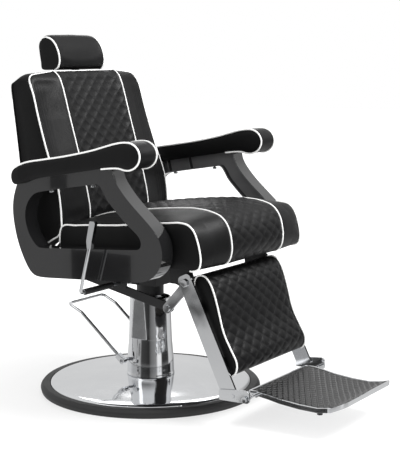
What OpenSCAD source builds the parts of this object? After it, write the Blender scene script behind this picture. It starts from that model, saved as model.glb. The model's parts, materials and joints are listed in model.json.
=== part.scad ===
// Hydraulic barber chair. Millimetres, +Z up, the sitter faces -Y.
// The origin is the centre of the base on the floor.

/* [Base] */
// Outer radius of the rubber ring round the base
base_r = 310; // [290:1:330]
// Height of the rubber ring
ring_h = 24; // [20:1:28]
// Thickness of the steel disc that gives the base its weight
plate_t = 12; // [8:1:14]
// Height of the chrome dome at the column
dome_top = 42; // [38:1:46]

/* [Column] */
// Height of the top edge of the chrome shroud
shroud_top = 262; // [255:1:266]
// Shroud radius where it meets the dome
shroud_r_low = 66; // [65:1:70]
// Shroud radius at its top edge
shroud_r_top = 57; // [55:1:60]
// Radius of the polished piston rod
rod_r = 20; // [18:0.5:22]
// Bore radius of the hydraulic cylinder
bore_r = 24; // [23:0.5:25]

/* [Seat] */
// Half of the seat and back width
seat_half_w = 250; // [246:1:251]
// Underside height of the seat frame rails
rail_z = 383; // [380:1:386]
// Side of the square seat frame tube
tube_w = 30; // [26:1:32]

/* [Arms] */
// Distance from the centre plane to the outer face of an arm frame
arm_x = 310; // [305:1:316]
// Depth of an arm frame across the chair
arm_depth = 48; // [42:1:50]
// Depth of the ribbed hollow on the seat side of an arm frame
arm_hollow = 14; // [10:1:30]
// Wall thickness of an arm frame
arm_wall = 3.5; // [3:0.5:5]
// Width of an arm pad
arm_pad_w = 72; // [68:1:76]

/* [Leg rest] */
// Half width of the calf pad
calf_half_w = 178; // [174:1:178]
// Width of a chrome side bar
bar_w = 44; // [40:1:46]
// Tilt of the side bars from vertical, in degrees
bar_tilt = 26.5; // [25:0.5:28]
// Half width of the footplate
foot_half_w = 150; // [140:1:156]

/* [Recline] */
// Length of the two parallel cranks that share the recline link
crank_len = 104; // [100:1:106]
// Direction of those cranks below the horizontal, in degrees
crank_dir = 48.5; // [46:0.5:50]
// Height range of the headrest post inside the back
post_len = 200; // [190:1:205]

/* [Hidden] */
$fn = 48;
fine = 96;

leather = "#1d1d1e";
chrome = "#c9ccd0";
steel = "#8d9094";
black_metal = "#2a2a2c";
gloss_black = "#0d0d0e";
rubber = "#202020";
plywood = "#c8a877";

// Running clearance of a shaft in its hole
run = 0.05;

// Column levels
cyl_top = 245;
collar_z = 284;
hub_z = 300;
// Seat levels, from the rails up
frame_top = rail_z + tube_w + 2;
board_t = 12;
board_top = frame_top + board_t;
rail_x = 180;
seat_rear = 112;
lip_z = frame_top - 13;
// Side plates outside the rails, and side plates that turn inside them
outer_plate_x = 181;
plate_w = 6;
inner_plate_x = 172;
link_x = 162;
bar_x = 190;

// Pivots as [y, z]
pedal_axis = [38, 88];
recline_axis = [147, 440];
legrest_axis = [-251, 358];
footplate_axis = [-436, 83];
lever_axis = [-30, 332];
crank = crank_len * [cos(crank_dir), -sin(crank_dir)];
link_rear = recline_axis + crank;
link_front = legrest_axis + crank;
// Pin of the recline lock, on the near bracket of the back
lock_crank_len = 70;
lock_pin = recline_axis + lock_crank_len * [cos(65), -sin(65)];
lock_x = -138;
lock_z = 373;

// Slope of the rear face of the back
back_tilt = 6.68;
post_foot = [256.6, 870];

function unit(v) = v / norm(v);

// Points of one corner of a rounded outline: v is [x, y, radius]
function corner(p, v, q, n) =
    let (
        at = [v.x, v.y],
        a = unit([p.x, p.y] - at),
        b = unit([q.x, q.y] - at),
        half = acos(a * b) / 2,
        c = at + unit(a + b) * v.z / sin(half),
        from = at + a * v.z / tan(half) - c,
        to = at + b * v.z / tan(half) - c,
        t0 = atan2(from.y, from.x),
        turn = (atan2(to.y, to.x) - t0 + 540) % 360 - 180
    )
    [for (i = [0:n]) c + v.z * [cos(t0 + turn * i / n), sin(t0 + turn * i / n)]];

// Closed outline from corners [x, y, radius]
function rounded(vs, n = 8) = [
    for (i = [0:len(vs) - 1])
        each corner(vs[(i + len(vs) - 1) % len(vs)], vs[i], vs[(i + 1) % len(vs)], n)
];

// The same counter-clockwise outline moved outwards by d, or inwards where d is negative
function grown(vs, d) = [
    for (i = [0:len(vs) - 1])
        let (
            p = vs[(i + len(vs) - 1) % len(vs)],
            v = vs[i],
            q = vs[(i + 1) % len(vs)],
            e = unit([v.x - p.x, v.y - p.y]),
            f = unit([q.x - v.x, q.y - v.y]),
            m = [e.y + f.y, -e.x - f.x] * d / (1 + e * f),
            side = e.x * f.y - e.y * f.x > 0 ? 1 : -1
        )
        [v.x + m.x, v.y + m.y, max(v.z + side * d, 1)]
];

// The corners of an outline without their radii
function flat(vs) = [for (v = vs) [v.x, v.y]];

// Closed outline with its corners cut n times, which leaves it smooth
function softened(vs, n = 2) =
    n == 0 ? vs : softened([
        for (i = [0:len(vs) - 1])
            let (v = vs[i], q = vs[(i + 1) % len(vs)])
            each [0.75 * v + 0.25 * q, 0.25 * v + 0.75 * q]
    ], n - 1);

// Outline of a bar with round ends between p and q
function slot_outline(p, q, r, n = 10) =
    let (t = atan2(q.y - p.y, q.x - p.x))
    concat(
        [for (i = [0:n]) q + r * [cos(t - 90 + 180 * i / n), sin(t - 90 + 180 * i / n)]],
        [for (i = [0:n]) p + r * [cos(t + 90 + 180 * i / n), sin(t + 90 + 180 * i / n)]]
    );

// Extrudes a [y, z] outline from x0 to x1
module side_plate(x0, x1, outline) {
    translate([x0, 0, 0])
        rotate([90, 0, 90])
            linear_extrude(x1 - x0)
                polygon(outline);
}

// Cylinder along X at p = [y, z]
module cross_rod(r, x0, x1, p, sides = fine) {
    translate([x0, p.x, p.y])
        rotate([0, 90, 0])
            cylinder(r = r, h = x1 - x0, $fn = sides);
}

module box(low, high) {
    translate(low)
        cube(high - low);
}

// The children on the left and, mirrored, on the right
module both_sides() {
    children();
    mirror([1, 0, 0])
        children();
}

// Centre line through the points, with an arc of the given radius at each inner point
function bent_path(pts, bend, n = 5) = [
    for (i = [0:len(pts) - 1])
        if (i == 0 || i == len(pts) - 1)
            pts[i]
        else
            let (
                u = unit(pts[i] - pts[i - 1]),
                w = unit(pts[i + 1] - pts[i]),
                turn = acos(u * w),
                start = pts[i] - u * bend * tan(turn / 2),
                inward = unit(w - u * (u * w))
            )
            each [
                for (k = [0:n])
                    start + bend * (u * sin(turn * k / n) + inward * (1 - cos(turn * k / n)))
            ]
];

function path_dir(path, i) = unit(path[min(i + 1, len(path) - 1)] - path[max(i - 1, 0)]);

// Normals carried along the path without twist, from the first normal n
function carried(path, n, i = 0) =
    i == len(path)
        ? []
        : let (t = path_dir(path, i), m = unit(n - t * (n * t)))
            concat([m], carried(path, m, i + 1));

// Tube of radius r along a path, closed at both ends
module swept(path, r, first_normal, sides = 12) {
    normals = carried(path, first_normal);
    last = len(path) - 1;
    rings = [
        for (i = [0:last])
            let (m = normals[i], b = cross(path_dir(path, i), m))
            each [for (j = [0:sides - 1]) path[i] + r * (m * cos(360 * j / sides) + b * sin(360 * j / sides))]
    ];
    faces = concat(
        [[for (j = [0:sides - 1]) j]],
        [[for (j = [sides - 1:-1:0]) last * sides + j]],
        [
            for (i = [0:last - 1])
                for (j = [0:sides - 1])
                    let (k = (j + 1) % sides)
                    [i * sides + j, (i + 1) * sides + j, (i + 1) * sides + k, i * sides + k]
        ]
    );
    polyhedron(rings, faces);
}

// Hexagon head with its flat face at z = 0 and a shank below it
module hex_bolt(shank_r, length, head_h) {
    cylinder(r = shank_r * 2, h = head_h, $fn = 6);
    translate([0, 0, -length])
        cylinder(r = shank_r, h = length);
}

// ---- Base ----

module base_plate() {
    color(steel)
        difference() {
            cylinder(r = base_r - 27, h = plate_t, $fn = fine);
            base_bolt_places()
                cylinder(r = 6.5, h = plate_t * 3, center = true);
        }
}

module base_bolt_places() {
    for (a = [45:90:315])
        rotate([0, 0, a])
            translate([66, 0, 0])
                children();
}

module base_ring() {
    color(rubber)
        rotate_extrude($fn = fine)
            polygon(rounded([
                [base_r - 27, 0, 1], [base_r - 4, 0, 3], [base_r, 14, 9],
                [base_r - 8, ring_h, 7], [base_r - 27, ring_h, 1],
            ]));
}

module base_dome() {
    rim = base_r - 28;
    skin = 2;
    hole_r = 61;
    color(chrome)
        rotate_extrude($fn = fine)
            polygon([
                [rim, plate_t], [rim, ring_h - 1], [rim - 3, ring_h + 2], [rim - 60, ring_h + 8],
                [rim - 140, dome_top - 3], [80, dome_top], [hole_r, dome_top], [hole_r, dome_top - skin],
                [80, dome_top - skin], [rim - 140, dome_top - 3 - skin], [rim - 60, ring_h + 8 - skin],
                [rim - 3 - skin, ring_h], [rim - skin, plate_t],
            ]);
}

module base_bolts() {
    color(steel)
        base_bolt_places()
            translate([0, 0, plate_t * 2])
                hex_bolt(6, plate_t * 2 - 2, 8);
}

// Cylinder, flange, plunger block and the two ears that carry the pedal shaft
module pump_body() {
    color(black_metal)
        difference() {
            union() {
                translate([0, 0, plate_t])
                    cylinder(r = 79, h = plate_t, $fn = fine);
                translate([0, 0, plate_t])
                    cylinder(r = bore_r + 6, h = cyl_top - plate_t, $fn = fine);
                box([-13, 20, plate_t], [13, 59, 68]);
                both_sides()
                    box([-24, 20, plate_t], [-13, 47, 98]);
            }
            translate([0, 0, 30])
                cylinder(r = bore_r, h = cyl_top, $fn = fine);
            plunger_place()
                translate([0, 0, 30])
                    cylinder(r = 6 + run, h = 60);
            box([-12.9, bore_r + 6.5, 68], [12.9, 60, 99]);
            cross_rod(5 + run, -30, 30, pedal_axis);
            base_bolt_places()
                cylinder(r = 6.5, h = plate_t * 6, center = true);
        }
}

module plunger_place() {
    translate([0, 52.5, 0])
        children();
}

module gland_nut() {
    color(steel)
        difference() {
            translate([0, 0, cyl_top])
                cylinder(r = bore_r + 10, h = shroud_top - cyl_top, $fn = 6);
            cylinder(r = rod_r + run, h = shroud_top + 1, $fn = fine);
        }
}

module rod_seal() {
    color(rubber)
        translate([0, 0, cyl_top - 10])
            difference() {
                cylinder(r = bore_r, h = 10, $fn = fine);
                translate([0, 0, -1])
                    cylinder(r = rod_r + run, h = 12, $fn = fine);
            }
}

// Tapered chrome tube with a flat pressed into each side
module column_shroud() {
    wall = 2.5;
    flat_x = 54.2;
    color(chrome)
        difference() {
            shroud_solid(0, flat_x);
            shroud_solid(wall, flat_x - wall);
            cross_rod(9, -80, 80, pedal_axis);
            cross_rod(3, -80, 80, [4, pedal_axis.y]);
        }
}

module shroud_solid(inset, flat_x) {
    low = dome_top - (inset > 0 ? 1 : 0);
    high = shroud_top + (inset > 0 ? 1 : 0);
    difference() {
        rotate_extrude($fn = fine)
            polygon([
                [0, low], [shroud_r_low - inset, low], [shroud_r_low - 1 - inset, 90],
                [(shroud_r_low + shroud_r_top) / 2 - 1 - inset, 140],
                [shroud_r_top - inset, high], [0, high],
            ]);
        both_sides()
            box([-90, -40, 150], [-flat_x, 40, shroud_top + 10]);
    }
}

module shroud_screws() {
    color(chrome)
        both_sides() {
            cross_rod(3, -66, -58, [4, pedal_axis.y]);
            cross_rod(7, -71, -66, [4, pedal_axis.y]);
        }
}

// ---- Pump pedal ----

// Cross shaft with the cam that presses the plunger
module pedal_shaft() {
    color(steel) {
        cross_rod(5, -84, 84, pedal_axis);
        side_plate(-8, 8, slot_outline(pedal_axis, pedal_axis + 14 * [cos(18), sin(18)], 4.5));
    }
}

// Points of the rod loop that the foot presses, near side first
pedal_bend = [184, 208];
pedal_end = [231, 229];
pedal_half_w = 79;
pedal_along = unit(pedal_bend - pedal_axis);
clamp_reach = 22;

module pedal_loop() {
    foot = pedal_axis + clamp_reach * pedal_along;
    near = [for (p = [foot, pedal_bend, pedal_end]) [-pedal_half_w, p.x, p.y]];
    far = [for (p = [pedal_end, pedal_bend, foot]) [pedal_half_w, p.x, p.y]];
    color(chrome)
        swept(bent_path(concat(near, far), 14), 4.5, [1, 0, 0]);
}

module pedal_clamps() {
    half = 8 * [-pedal_along.y, pedal_along.x];
    tip = pedal_axis + clamp_reach * pedal_along;
    color(chrome)
        both_sides()
            difference() {
                union() {
                    cross_rod(9, -pedal_half_w - 7, -pedal_half_w + 7, pedal_axis);
                    side_plate(-pedal_half_w - 7, -pedal_half_w + 7, [
                        pedal_axis - half, tip - half, tip + half, pedal_axis + half,
                    ]);
                }
                cross_rod(5, -pedal_half_w - 8, -pedal_half_w + 8, pedal_axis);
            }
}

module pump_plunger() {
    color(steel)
        plunger_place()
            translate([0, 0, 50])
                cylinder(r = 6, h = 35.6);
}

// Coil spring below the plunger
module plunger_spring() {
    turns = 5;
    wire = 0.8;
    coil_r = 4.9;
    low = 30 + wire;
    rise = 20 - 2 * wire;
    coil = [
        for (i = [0:12 * turns])
            [coil_r * cos(30 * i), coil_r * sin(30 * i), low + rise * i / (12 * turns)]
    ];
    color(steel)
        plunger_place()
            swept(coil, wire, [1, 0, 0], 6);
}

// ---- Piston and swivel ----

module piston_rod() {
    color(steel) {
        translate([0, 0, 40])
            cylinder(r = bore_r - run, h = 20, $fn = fine);
        translate([0, 0, 60])
            cylinder(r = rod_r, h = hub_z + 43 - 60, $fn = fine);
        translate([0, 0, collar_z])
            cylinder(r = 33, h = 8, $fn = fine);
    }
}

module thrust_bearing() {
    color(steel)
        translate([0, 0, collar_z + 8])
            difference() {
                cylinder(r = 33, h = 7.9, $fn = fine);
                translate([0, 0, -1])
                    cylinder(r = rod_r + 1, h = 10, $fn = fine);
            }
}

module swivel_hub() {
    color(black_metal)
        difference() {
            union() {
                box([-40, -48, hub_z], [40, 48, hub_z + 55]);
                box([-80, -70, hub_z + 55], [80, 70, rail_z - 8]);
                translate([0, 0, collar_z - 14])
                    cylinder(r = 38, h = hub_z - collar_z + 14, $fn = fine);
            }
            translate([0, 0, collar_z - 15])
                cylinder(r = 33 + run, h = hub_z - collar_z + 15, $fn = fine);
            translate([0, 0, hub_z - 1])
                cylinder(r = rod_r + run, h = 46, $fn = fine);
        }
}

// ---- Seat structure ----

seat_bolt_xy = [for (x = [-90, 90], y = [-135, 75]) [x, y]];

module seat_plate() {
    color(black_metal)
        difference() {
            box([-118, -150, rail_z - 8], [118, 90, rail_z]);
            for (p = seat_bolt_xy)
                translate([p.x, p.y, rail_z - 9])
                    cylinder(r = 4.3, h = 10);
        }
}

// Bolts of the seat plate and of the arm frames, all one size
module frame_bolts() {
    color(steel) {
        for (p = seat_bolt_xy)
            translate([p.x, p.y, rail_z - 8])
                mirror([0, 0, 1])
                    hex_bolt(4, 24, 6);
        both_sides()
            for (p = arm_bolt_yz)
                translate([-arm_x + arm_depth + 6, p.x, p.y])
                    rotate([0, 90, 0])
                        hex_bolt(4, 34, 4.5);
    }
}

module seat_frame() {
    wall = 2.5;
    rear = 110;
    front = -190;
    color(black_metal)
        difference() {
            union() {
                both_sides()
                    box([-rail_x, front, rail_z], [-rail_x + tube_w, rear, frame_top]);
                for (y = [-150, -45, 60])
                    box([-rail_x + tube_w, y, rail_z], [rail_x - tube_w, y + tube_w, frame_top]);
            }
            both_sides()
                box(
                    [-rail_x + wall, front - 1, rail_z + wall],
                    [-rail_x + tube_w - wall, rear + 1, frame_top - wall]
                );
            for (p = seat_bolt_xy)
                translate([p.x, p.y, rail_z - 1])
                    cylinder(r = 4.3, h = 20);
        }
}

module seat_board() {
    color(plywood)
        box([-240, -305, frame_top], [240, 106, board_top]);
}

// Side view of the seat cushion at the quilted centre panel
seat_profile = [
    [-300, lip_z + 2], [-326, lip_z], [-342, lip_z + 8], [-351, 432], [-350, 470], [-338, 505],
    [-318, 527], [-285, 538], [-240, 542], [-190, 541], [-84, 529], [21, 514], [62, 504], [98, 488],
    [seat_rear, 466], [seat_rear, lip_z + 6], [90, lip_z],
];
// The same at the side faces, lower and set back
seat_side_profile = [
    [-300, lip_z + 2], [-318, lip_z], [-332, lip_z + 8], [-337, 432], [-330, 478], [-314, 506],
    [-292, 519], [-270, 521], [-213, 514], [-109, 501], [98, 484], [110, 470],
    [seat_rear, lip_z + 6], [90, lip_z],
];

module seat_cushion() {
    color(leather)
        difference() {
            union() {
                side_plate(-135, 135, seat_profile);
                both_sides()
                    side_plate(-seat_half_w, -135, seat_side_profile);
            }
            box([-240, -305, lip_z - 10], [240, 106, board_top]);
            box([-200, 100, lip_z - 10], [200, 120, board_top]);
        }
}

// Plates on the rear ends of the rails, with the bores of the back's pins
module hinge_brackets() {
    color(black_metal)
        both_sides()
            difference() {
                side_plate(-outer_plate_x - plate_w, -outer_plate_x, rounded([
                    [62, rail_z, 2], [110, rail_z, 12], [166, 430, 8], [163, 457, 12],
                    [136, 457, 14], [112, frame_top, 10], [62, frame_top, 2],
                ]));
                cross_rod(6 + run, -200, -170, recline_axis);
            }
}

// Plates on the front ends of the rails, with the bores of the leg rest's bolts
module legrest_hangers() {
    color(black_metal)
        both_sides()
            difference() {
                side_plate(-outer_plate_x - plate_w, -outer_plate_x, rounded([
                    [-124, rail_z, 2], [-124, frame_top, 2], [-256, frame_top, 8], [-270, 372, 14],
                    [-266, 343, 14], [-236, 343, 14], [-216, 350, 4],
                    [-198, 350, 3], [-198, rail_z, 3],
                ]));
                cross_rod(6 + run, -200, -170, legrest_axis);
            }
}

// ---- Arms ----

arm_outline = softened([
    [-96, 657, 0], [-108, 657, 0], [-111, 632, 0], [-127, 607, 0], [-158, 573.5, 0], [-201, 537, 0],
    [-238, 505, 0], [-256, 478, 0], [-263, 444, 0], [-256, 415, 0], [-238, 390, 0], [-203, 370, 0],
    [-130, 366.5, 0], [66, 354.5, 0], [135, 350, 0], [160, 356, 0], [180, 378, 0], [203, 422, 0],
    [217, 464, 0], [225.5, 512, 0], [224, 550, 0], [214, 582, 0], [206, 599, 0], [190, 608, 0],
]);
arm_opening = softened([
    [-50, 608.5, 0], [-64, 610.5, 0], [-76, 597, 0], [-89, 574, 0], [-108, 555, 0], [-130, 534, 0],
    [-151, 515.5, 0], [-173, 500, 0], [-190, 487, 0], [-198, 471, 0], [-194, 456, 0], [-180, 451, 0],
    [64, 434.5, 0], [126, 429, 0], [142, 432, 0], [154, 443, 0], [168, 460, 0], [178.5, 484, 0],
    [183, 508, 0], [181, 528, 0], [173.5, 547, 0], [160, 564, 0], [146, 573.5, 0], [129, 579, 0],
]);
arm_bolt_yz = [[-100, 398], [40, 398]];
arm_screw_yz = [[-29, 605], [110, 583]];

module left_arm_frame() {
    color(gloss_black)
        arm_frame();
}

module right_arm_frame() {
    color(gloss_black)
        mirror([1, 0, 0])
            arm_frame();
}

// Deep shell, open towards the seat, with ribs and bosses inside
module arm_frame() {
    inner = -arm_x + arm_depth;
    difference() {
        side_plate(-arm_x, inner, flat(arm_outline));
        side_plate(-arm_x - 1, inner + 1, flat(arm_opening));
        difference() {
            side_plate(inner - arm_hollow, inner + 1, flat(grown(arm_outline, -arm_wall)));
            side_plate(-arm_x, inner + 1, flat(grown(arm_opening, arm_wall)));
            for (y = [40, 119])
                translate([0, y, 598])
                    rotate([-15, 0, 0])
                        box([-arm_x, 0, -50], [inner - 0.5, 3, 80]);
            for (y = [-170, -60, 70])
                box([-arm_x, y, 340], [inner - 3, y + 3, 460]);
            translate([-arm_x, -150, 505])
                rotate([35, 0, 0])
                    box([0, -60, 0], [arm_depth - 3, 60, 3]);
            for (p = arm_bolt_yz)
                cross_rod(9, -arm_x, inner, p);
        }
        for (p = arm_bolt_yz)
            cross_rod(4, inner - 30, inner + 1, p);
        for (p = arm_screw_yz)
            translate([-arm_x + arm_depth / 2, p.x, p.y - 10])
                cylinder(r = 3.2, h = 70);
    }
}

// Cross straps between the seat rails and the arm frames
module arm_brackets() {
    inner = -arm_x + arm_depth;
    color(black_metal)
        both_sides()
            for (p = arm_bolt_yz)
                difference() {
                    union() {
                        box([inner, p.x - 18, rail_z], [-rail_x, p.x + 18, rail_z + 6]);
                        box([inner, p.x - 18, rail_z], [inner + 6, p.x + 18, p.y + 14]);
                    }
                    cross_rod(4.3, inner - 1, inner + 7, p);
                }
}

// Sloping pad with a scrolled front end and a rounded, drooping rear end
arm_pad_profile = softened([
    [-122, 655.5, 0], [-142, 656, 0], [-161, 652.5, 0], [-177, 652.5, 0], [-195, 661, 0], [-205, 676, 0],
    [-207, 693, 0], [-198, 710, 0], [-182, 719, 0], [-162, 721, 0], [-131, 716, 0], [-99.5, 707.5, 0],
    [-60, 696, 0], [-11, 685, 0], [105, 664.5, 0], [166, 653.5, 0], [202, 639, 0], [214, 627, 0],
    [217, 613, 0], [213, 599, 0], [202, 594, 0], [184, 597.5, 0], [165, 606, 0], [140, 614, 0],
    [-18, 641, 0], [-87, 652, 0],
]);

module left_arm_pad() {
    color(leather)
        arm_pad();
}

module right_arm_pad() {
    color(leather)
        mirror([1, 0, 0])
            arm_pad();
}

module arm_pad() {
    pad_in = -arm_x + arm_depth + 9;
    difference() {
        side_plate(pad_in - arm_pad_w, pad_in, flat(arm_pad_profile));
        side_plate(-arm_x, -arm_x + arm_depth, flat(arm_outline));
        for (p = arm_screw_yz)
            translate([-arm_x + arm_depth / 2, p.x, p.y])
                cylinder(r = 3.2, h = 52);
    }
}

module arm_pad_screws() {
    color(chrome)
        both_sides()
            for (p = arm_screw_yz) {
                translate([-arm_x + arm_depth / 2, p.x, p.y - 7])
                    cylinder(r = 6, h = 5);
                translate([-arm_x + arm_depth / 2, p.x, p.y - 2])
                    cylinder(r = 3, h = 52);
            }
}

// ---- Recline lock and lever ----

lock_front = -38;
lock_rear = 92;

module lock_cylinder() {
    color(black_metal)
        difference() {
            lock_round(9.5, lock_front, lock_rear);
            lock_round(7.5, lock_front + 6, lock_rear - 8);
            lock_round(5 + run, lock_rear - 9, lock_rear + 1);
            lock_round(3 + run, lock_front - 1, lock_front + 7);
        }
}

// Cylinder along Y on the axis of the lock
module lock_round(r, y0, y1) {
    translate([lock_x, y1, lock_z])
        rotate([90, 0, 0])
            cylinder(r = r, h = y1 - y0);
}

module lock_clamps() {
    color(steel)
        for (y = [-36, 64])
            difference() {
                box([lock_x - 12, y, lock_z - 12], [lock_x + 12, y + 14, rail_z]);
                lock_round(9.5, y - 1, y + 15);
            }
}

// Piston, rod and the slotted end that follows the pin on the back's bracket
module lock_rod() {
    tall = lock_pin.y - 3;
    color(chrome) {
        lock_round(7.4, 32, 40);
        lock_round(5, 40, lock_pin.x - 14);
        difference() {
            box([lock_x - 4, lock_pin.x - 14, tall - 19], [lock_x + 4, lock_pin.x + 12, tall + 19]);
            side_plate(lock_x - 5, lock_x + 5, slot_outline([lock_pin.x, tall - 5], [lock_pin.x, tall + 5], 5.7));
        }
    }
}

module release_pin() {
    color(steel)
        lock_round(3, -51.3, -34);
}

module lever_bearings() {
    color(black_metal)
        for (x = [-176, -118])
            difference() {
                box([x, -48, 318], [x + plate_w, -12, x < -150 ? rail_z : rail_z - 8]);
                cross_rod(5 + run, x - 1, x + 7, lever_axis);
            }
}

lever_x = -345;
lever_top = [-66, 462];
lever_tip = [-76, 519];

// Cross shaft with the finger that presses the lock's pin
module lever_shaft() {
    finger = [-58.8, lock_z];
    color(steel) {
        cross_rod(5, -330, -109, lever_axis);
        side_plate(lock_x - 4, lock_x + 4, slot_outline(lever_axis, finger, 4));
        cross_rod(9, lock_x - 4, lock_x + 4, lever_axis);
    }
}

module lever_rod() {
    swept(bent_path([
        [-330, lever_axis.x, lever_axis.y], [lever_x, lever_axis.x, lever_axis.y],
        [lever_x - 2, lever_top.x, lever_top.y],
    ], 9), 4.5, [0, 1, 0]);
}

module recline_lever() {
    color(chrome)
        lever_rod();
}

module lever_sleeve() {
    color(rubber)
        difference() {
            cross_rod(8, -328, -214, lever_axis);
            cross_rod(5, -340, -200, lever_axis);
        }
}

// Flattened hand grip at the top of the lever
module lever_grip() {
    x = lever_x - 2;
    color(chrome)
        difference() {
            side_plate(x - 5.5, x + 5.5, [
                lever_top + [6.5, -12], lever_top + [8.5, 8], lever_tip + [8.5, -3], lever_tip + [6, 2],
                lever_tip + [-7, 2], lever_tip + [-10, -3], lever_top + [-8.5, 8], lever_top + [-5.5, -12],
            ]);
            lever_rod();
        }
}

// ---- Recline linkage ----

module recline_link() {
    color(black_metal)
        difference() {
            side_plate(-link_x - plate_w, -link_x, slot_outline(link_front, link_rear, 12));
            for (p = [link_front, link_rear])
                cross_rod(5 + run, -180, -150, p);
        }
}

// Side plates of the back; the left one carries both cranks and their pins
module back_brackets() {
    outer = -inner_plate_x - plate_w;
    strap = [[131, 441], [146, 425], [216, 462], [238.2, 650], [214, 650], [198, 490]];
    color(black_metal)
        difference() {
            union() {
                both_sides()
                    side_plate(outer, -inner_plate_x, strap);
                both_sides()
                    cross_rod(16, outer, -inner_plate_x, recline_axis);
                side_plate(outer, -inner_plate_x, slot_outline(recline_axis, link_rear, 11));
                side_plate(outer, -inner_plate_x, slot_outline(recline_axis, lock_pin, 11));
                cross_rod(5, -inner_plate_x - 1, -link_x + 4, link_rear);
                cross_rod(5, -inner_plate_x - 1, lock_x + 8, lock_pin);
            }
            both_sides()
                cross_rod(6, -200, -160, recline_axis);
        }
}

module back_axle() {
    color(steel)
        difference() {
            cross_rod(9, -inner_plate_x, inner_plate_x, recline_axis);
            both_sides()
                cross_rod(6, -inner_plate_x - 1, -150, recline_axis);
        }
}

module back_pins() {
    color(steel)
        both_sides() {
            cross_rod(6, -outer_plate_x - plate_w - 1, -152, recline_axis);
            cross_rod(10, -outer_plate_x - plate_w - 6, -outer_plate_x - plate_w - 1, recline_axis);
        }
}

// ---- Back and headrest ----

back_profile = [
    [170, 437], [130, 444], [112, 462], [105, 490], [105, 518], [116, 575], [143, 669], [200, 856],
    [206, 873], [220, 884], [236, 886], [258, 878], [273, 864], [277, 850], [229.5, 444], [222, 437],
];

module back_board() {
    color(plywood)
        side_plate(-235, 235, [[214.9, 450], [229, 450], [277, 858], [262.9, 858]]);
}

module back_cushion() {
    color(leather)
        difference() {
            side_plate(-seat_half_w, seat_half_w, back_profile);
            side_plate(-235, 235, [[213.2, 436], [240, 436], [290, 858.1], [262.9, 858.1]]);
            box([-198, 90, 430], [198, 230, 474]);
            both_sides()
                side_plate(-182, -168, [[120, 470], [220, 470], [242, 655], [208, 655], [192, 500]]);
            post_place()
                box([-21.3, -7.3, -136], [21.3, 7.2, 40]);
        }
}

// Local frame of the headrest post: z runs along the slide
module post_place() {
    translate([0, post_foot.x, post_foot.y])
        rotate([-back_tilt, 0, 0])
            children();
}

module headrest_socket() {
    color(steel)
        post_place()
            difference() {
                box([-21, -7, -112], [21, 7, -3]);
                box([-16 - run, -3 - run, -113], [16 + run, 3 + run, 0]);
            }
}

module headrest_post() {
    color(chrome)
        post_place()
            box([-16, -3, -130], [16, 3, post_len - 130]);
}

module headrest_cushion() {
    color(leather)
        difference() {
            side_plate(-97, 97, rounded([
                [234, 889.5, 10], [229, 925, 40], [247, 984, 30], [304, 984, 16], [309, 950, 60], [298, 889.5, 4],
            ], 5));
            post_place()
                box([-16, -3, -10], [16, 3, post_len - 130]);
        }
}

// ---- Leg rest ----

// Local frame of the leg rest: its pivot is the origin and z runs up the side bars
module legrest_place() {
    translate([0, legrest_axis.x, legrest_axis.y])
        rotate([-bar_tilt, 0, 0])
            children();
}

bar_end = -314;

module legrest_bars() {
    half = bar_w / 2;
    color(chrome)
        both_sides()
            difference() {
                legrest_place()
                    side_plate(-bar_x - plate_w, -bar_x, rounded([
                        [-half, bar_end, 4], [half, bar_end + 20, 4], [half - 4, 20, 12], [-half, 20, 12],
                    ]));
                cross_rod(6, -200, -180, legrest_axis);
            }
}

module legrest_axle() {
    color(steel)
        difference() {
            cross_rod(10, -inner_plate_x - plate_w, inner_plate_x + plate_w, legrest_axis);
            both_sides()
                cross_rod(6, -180, -160, legrest_axis);
        }
}

module legrest_pivot_bolts() {
    color(chrome)
        both_sides() {
            cross_rod(6, -bar_x - plate_w, -162, legrest_axis);
            cross_rod(11, -bar_x - plate_w - 6, -bar_x - plate_w, legrest_axis, 6);
        }
}

// Crank plate on the axle, with the pin at the front of the recline link
module legrest_crank() {
    outer = -inner_plate_x - plate_w;
    color(chrome)
        difference() {
            union() {
                side_plate(outer, -inner_plate_x, slot_outline(legrest_axis, link_front, 13));
                cross_rod(5, -inner_plate_x - 1, -link_x + 4, link_front);
                cross_rod(8, -link_x + 0.5, -link_x + 4, link_front);
                cross_rod(9, outer - 4, outer, link_front);
            }
            cross_rod(10, outer - 1, -inner_plate_x + 1, legrest_axis);
        }
}

// Flat cross straps behind the calf board
module legrest_straps() {
    color(black_metal)
        legrest_place()
            for (z = [-90, -240])
                box([-bar_x, 0, z], [bar_x, 5, z + 30]);
}

module calf_board() {
    color(plywood)
        legrest_place()
            box([-calf_half_w + 4, -12, -256], [calf_half_w - 4, 0, -24]);
}

// Side view of the calf pad in the leg rest's frame
calf_profile = [
    [-12, -264], [-24, -262], [-36, -252], [-43, -236], [-42, -205], [-40, -170], [-42, -142], [-47, -117],
    [-54, -80], [-58, -50], [-58, -27], [-53, -9], [-44, 0], [-31, 3], [-20, -3], [-12, -16],
];

module calf_pad() {
    color(leather)
        legrest_place()
            side_plate(-calf_half_w, calf_half_w, calf_profile);
}

foot_screw_yz = [-398, 84];

module foot_brackets() {
    out = -bar_x - plate_w;
    color(chrome)
        both_sides()
            difference() {
                union() {
                    side_plate(out - 5, out, rounded([
                        [-358, 70, 4], [-358, 97, 4], [-446, 106, 10], [-450, 72, 10],
                    ]));
                    cross_rod(7, out - 8, out - 5, foot_screw_yz, 6);
                }
                cross_rod(4, out - 9, out + 1, footplate_axis);
            }
}

// ---- Footplate ----

module footplate_rod() {
    color(chrome) {
        cross_rod(4, -205, 205, footplate_axis);
        both_sides()
            cross_rod(8, -210, -205, footplate_axis, 6);
    }
}

foot_front = -680;
foot_rear = -414;
// Upper line of the dished tray, rear to front, as [y, z]
foot_curve = [
    [foot_rear, 91], [-440, 92], [-470, 88], [-505, 82], [-560, 77], [-610, 76], [-648, 82], [foot_front, 95],
];

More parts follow.
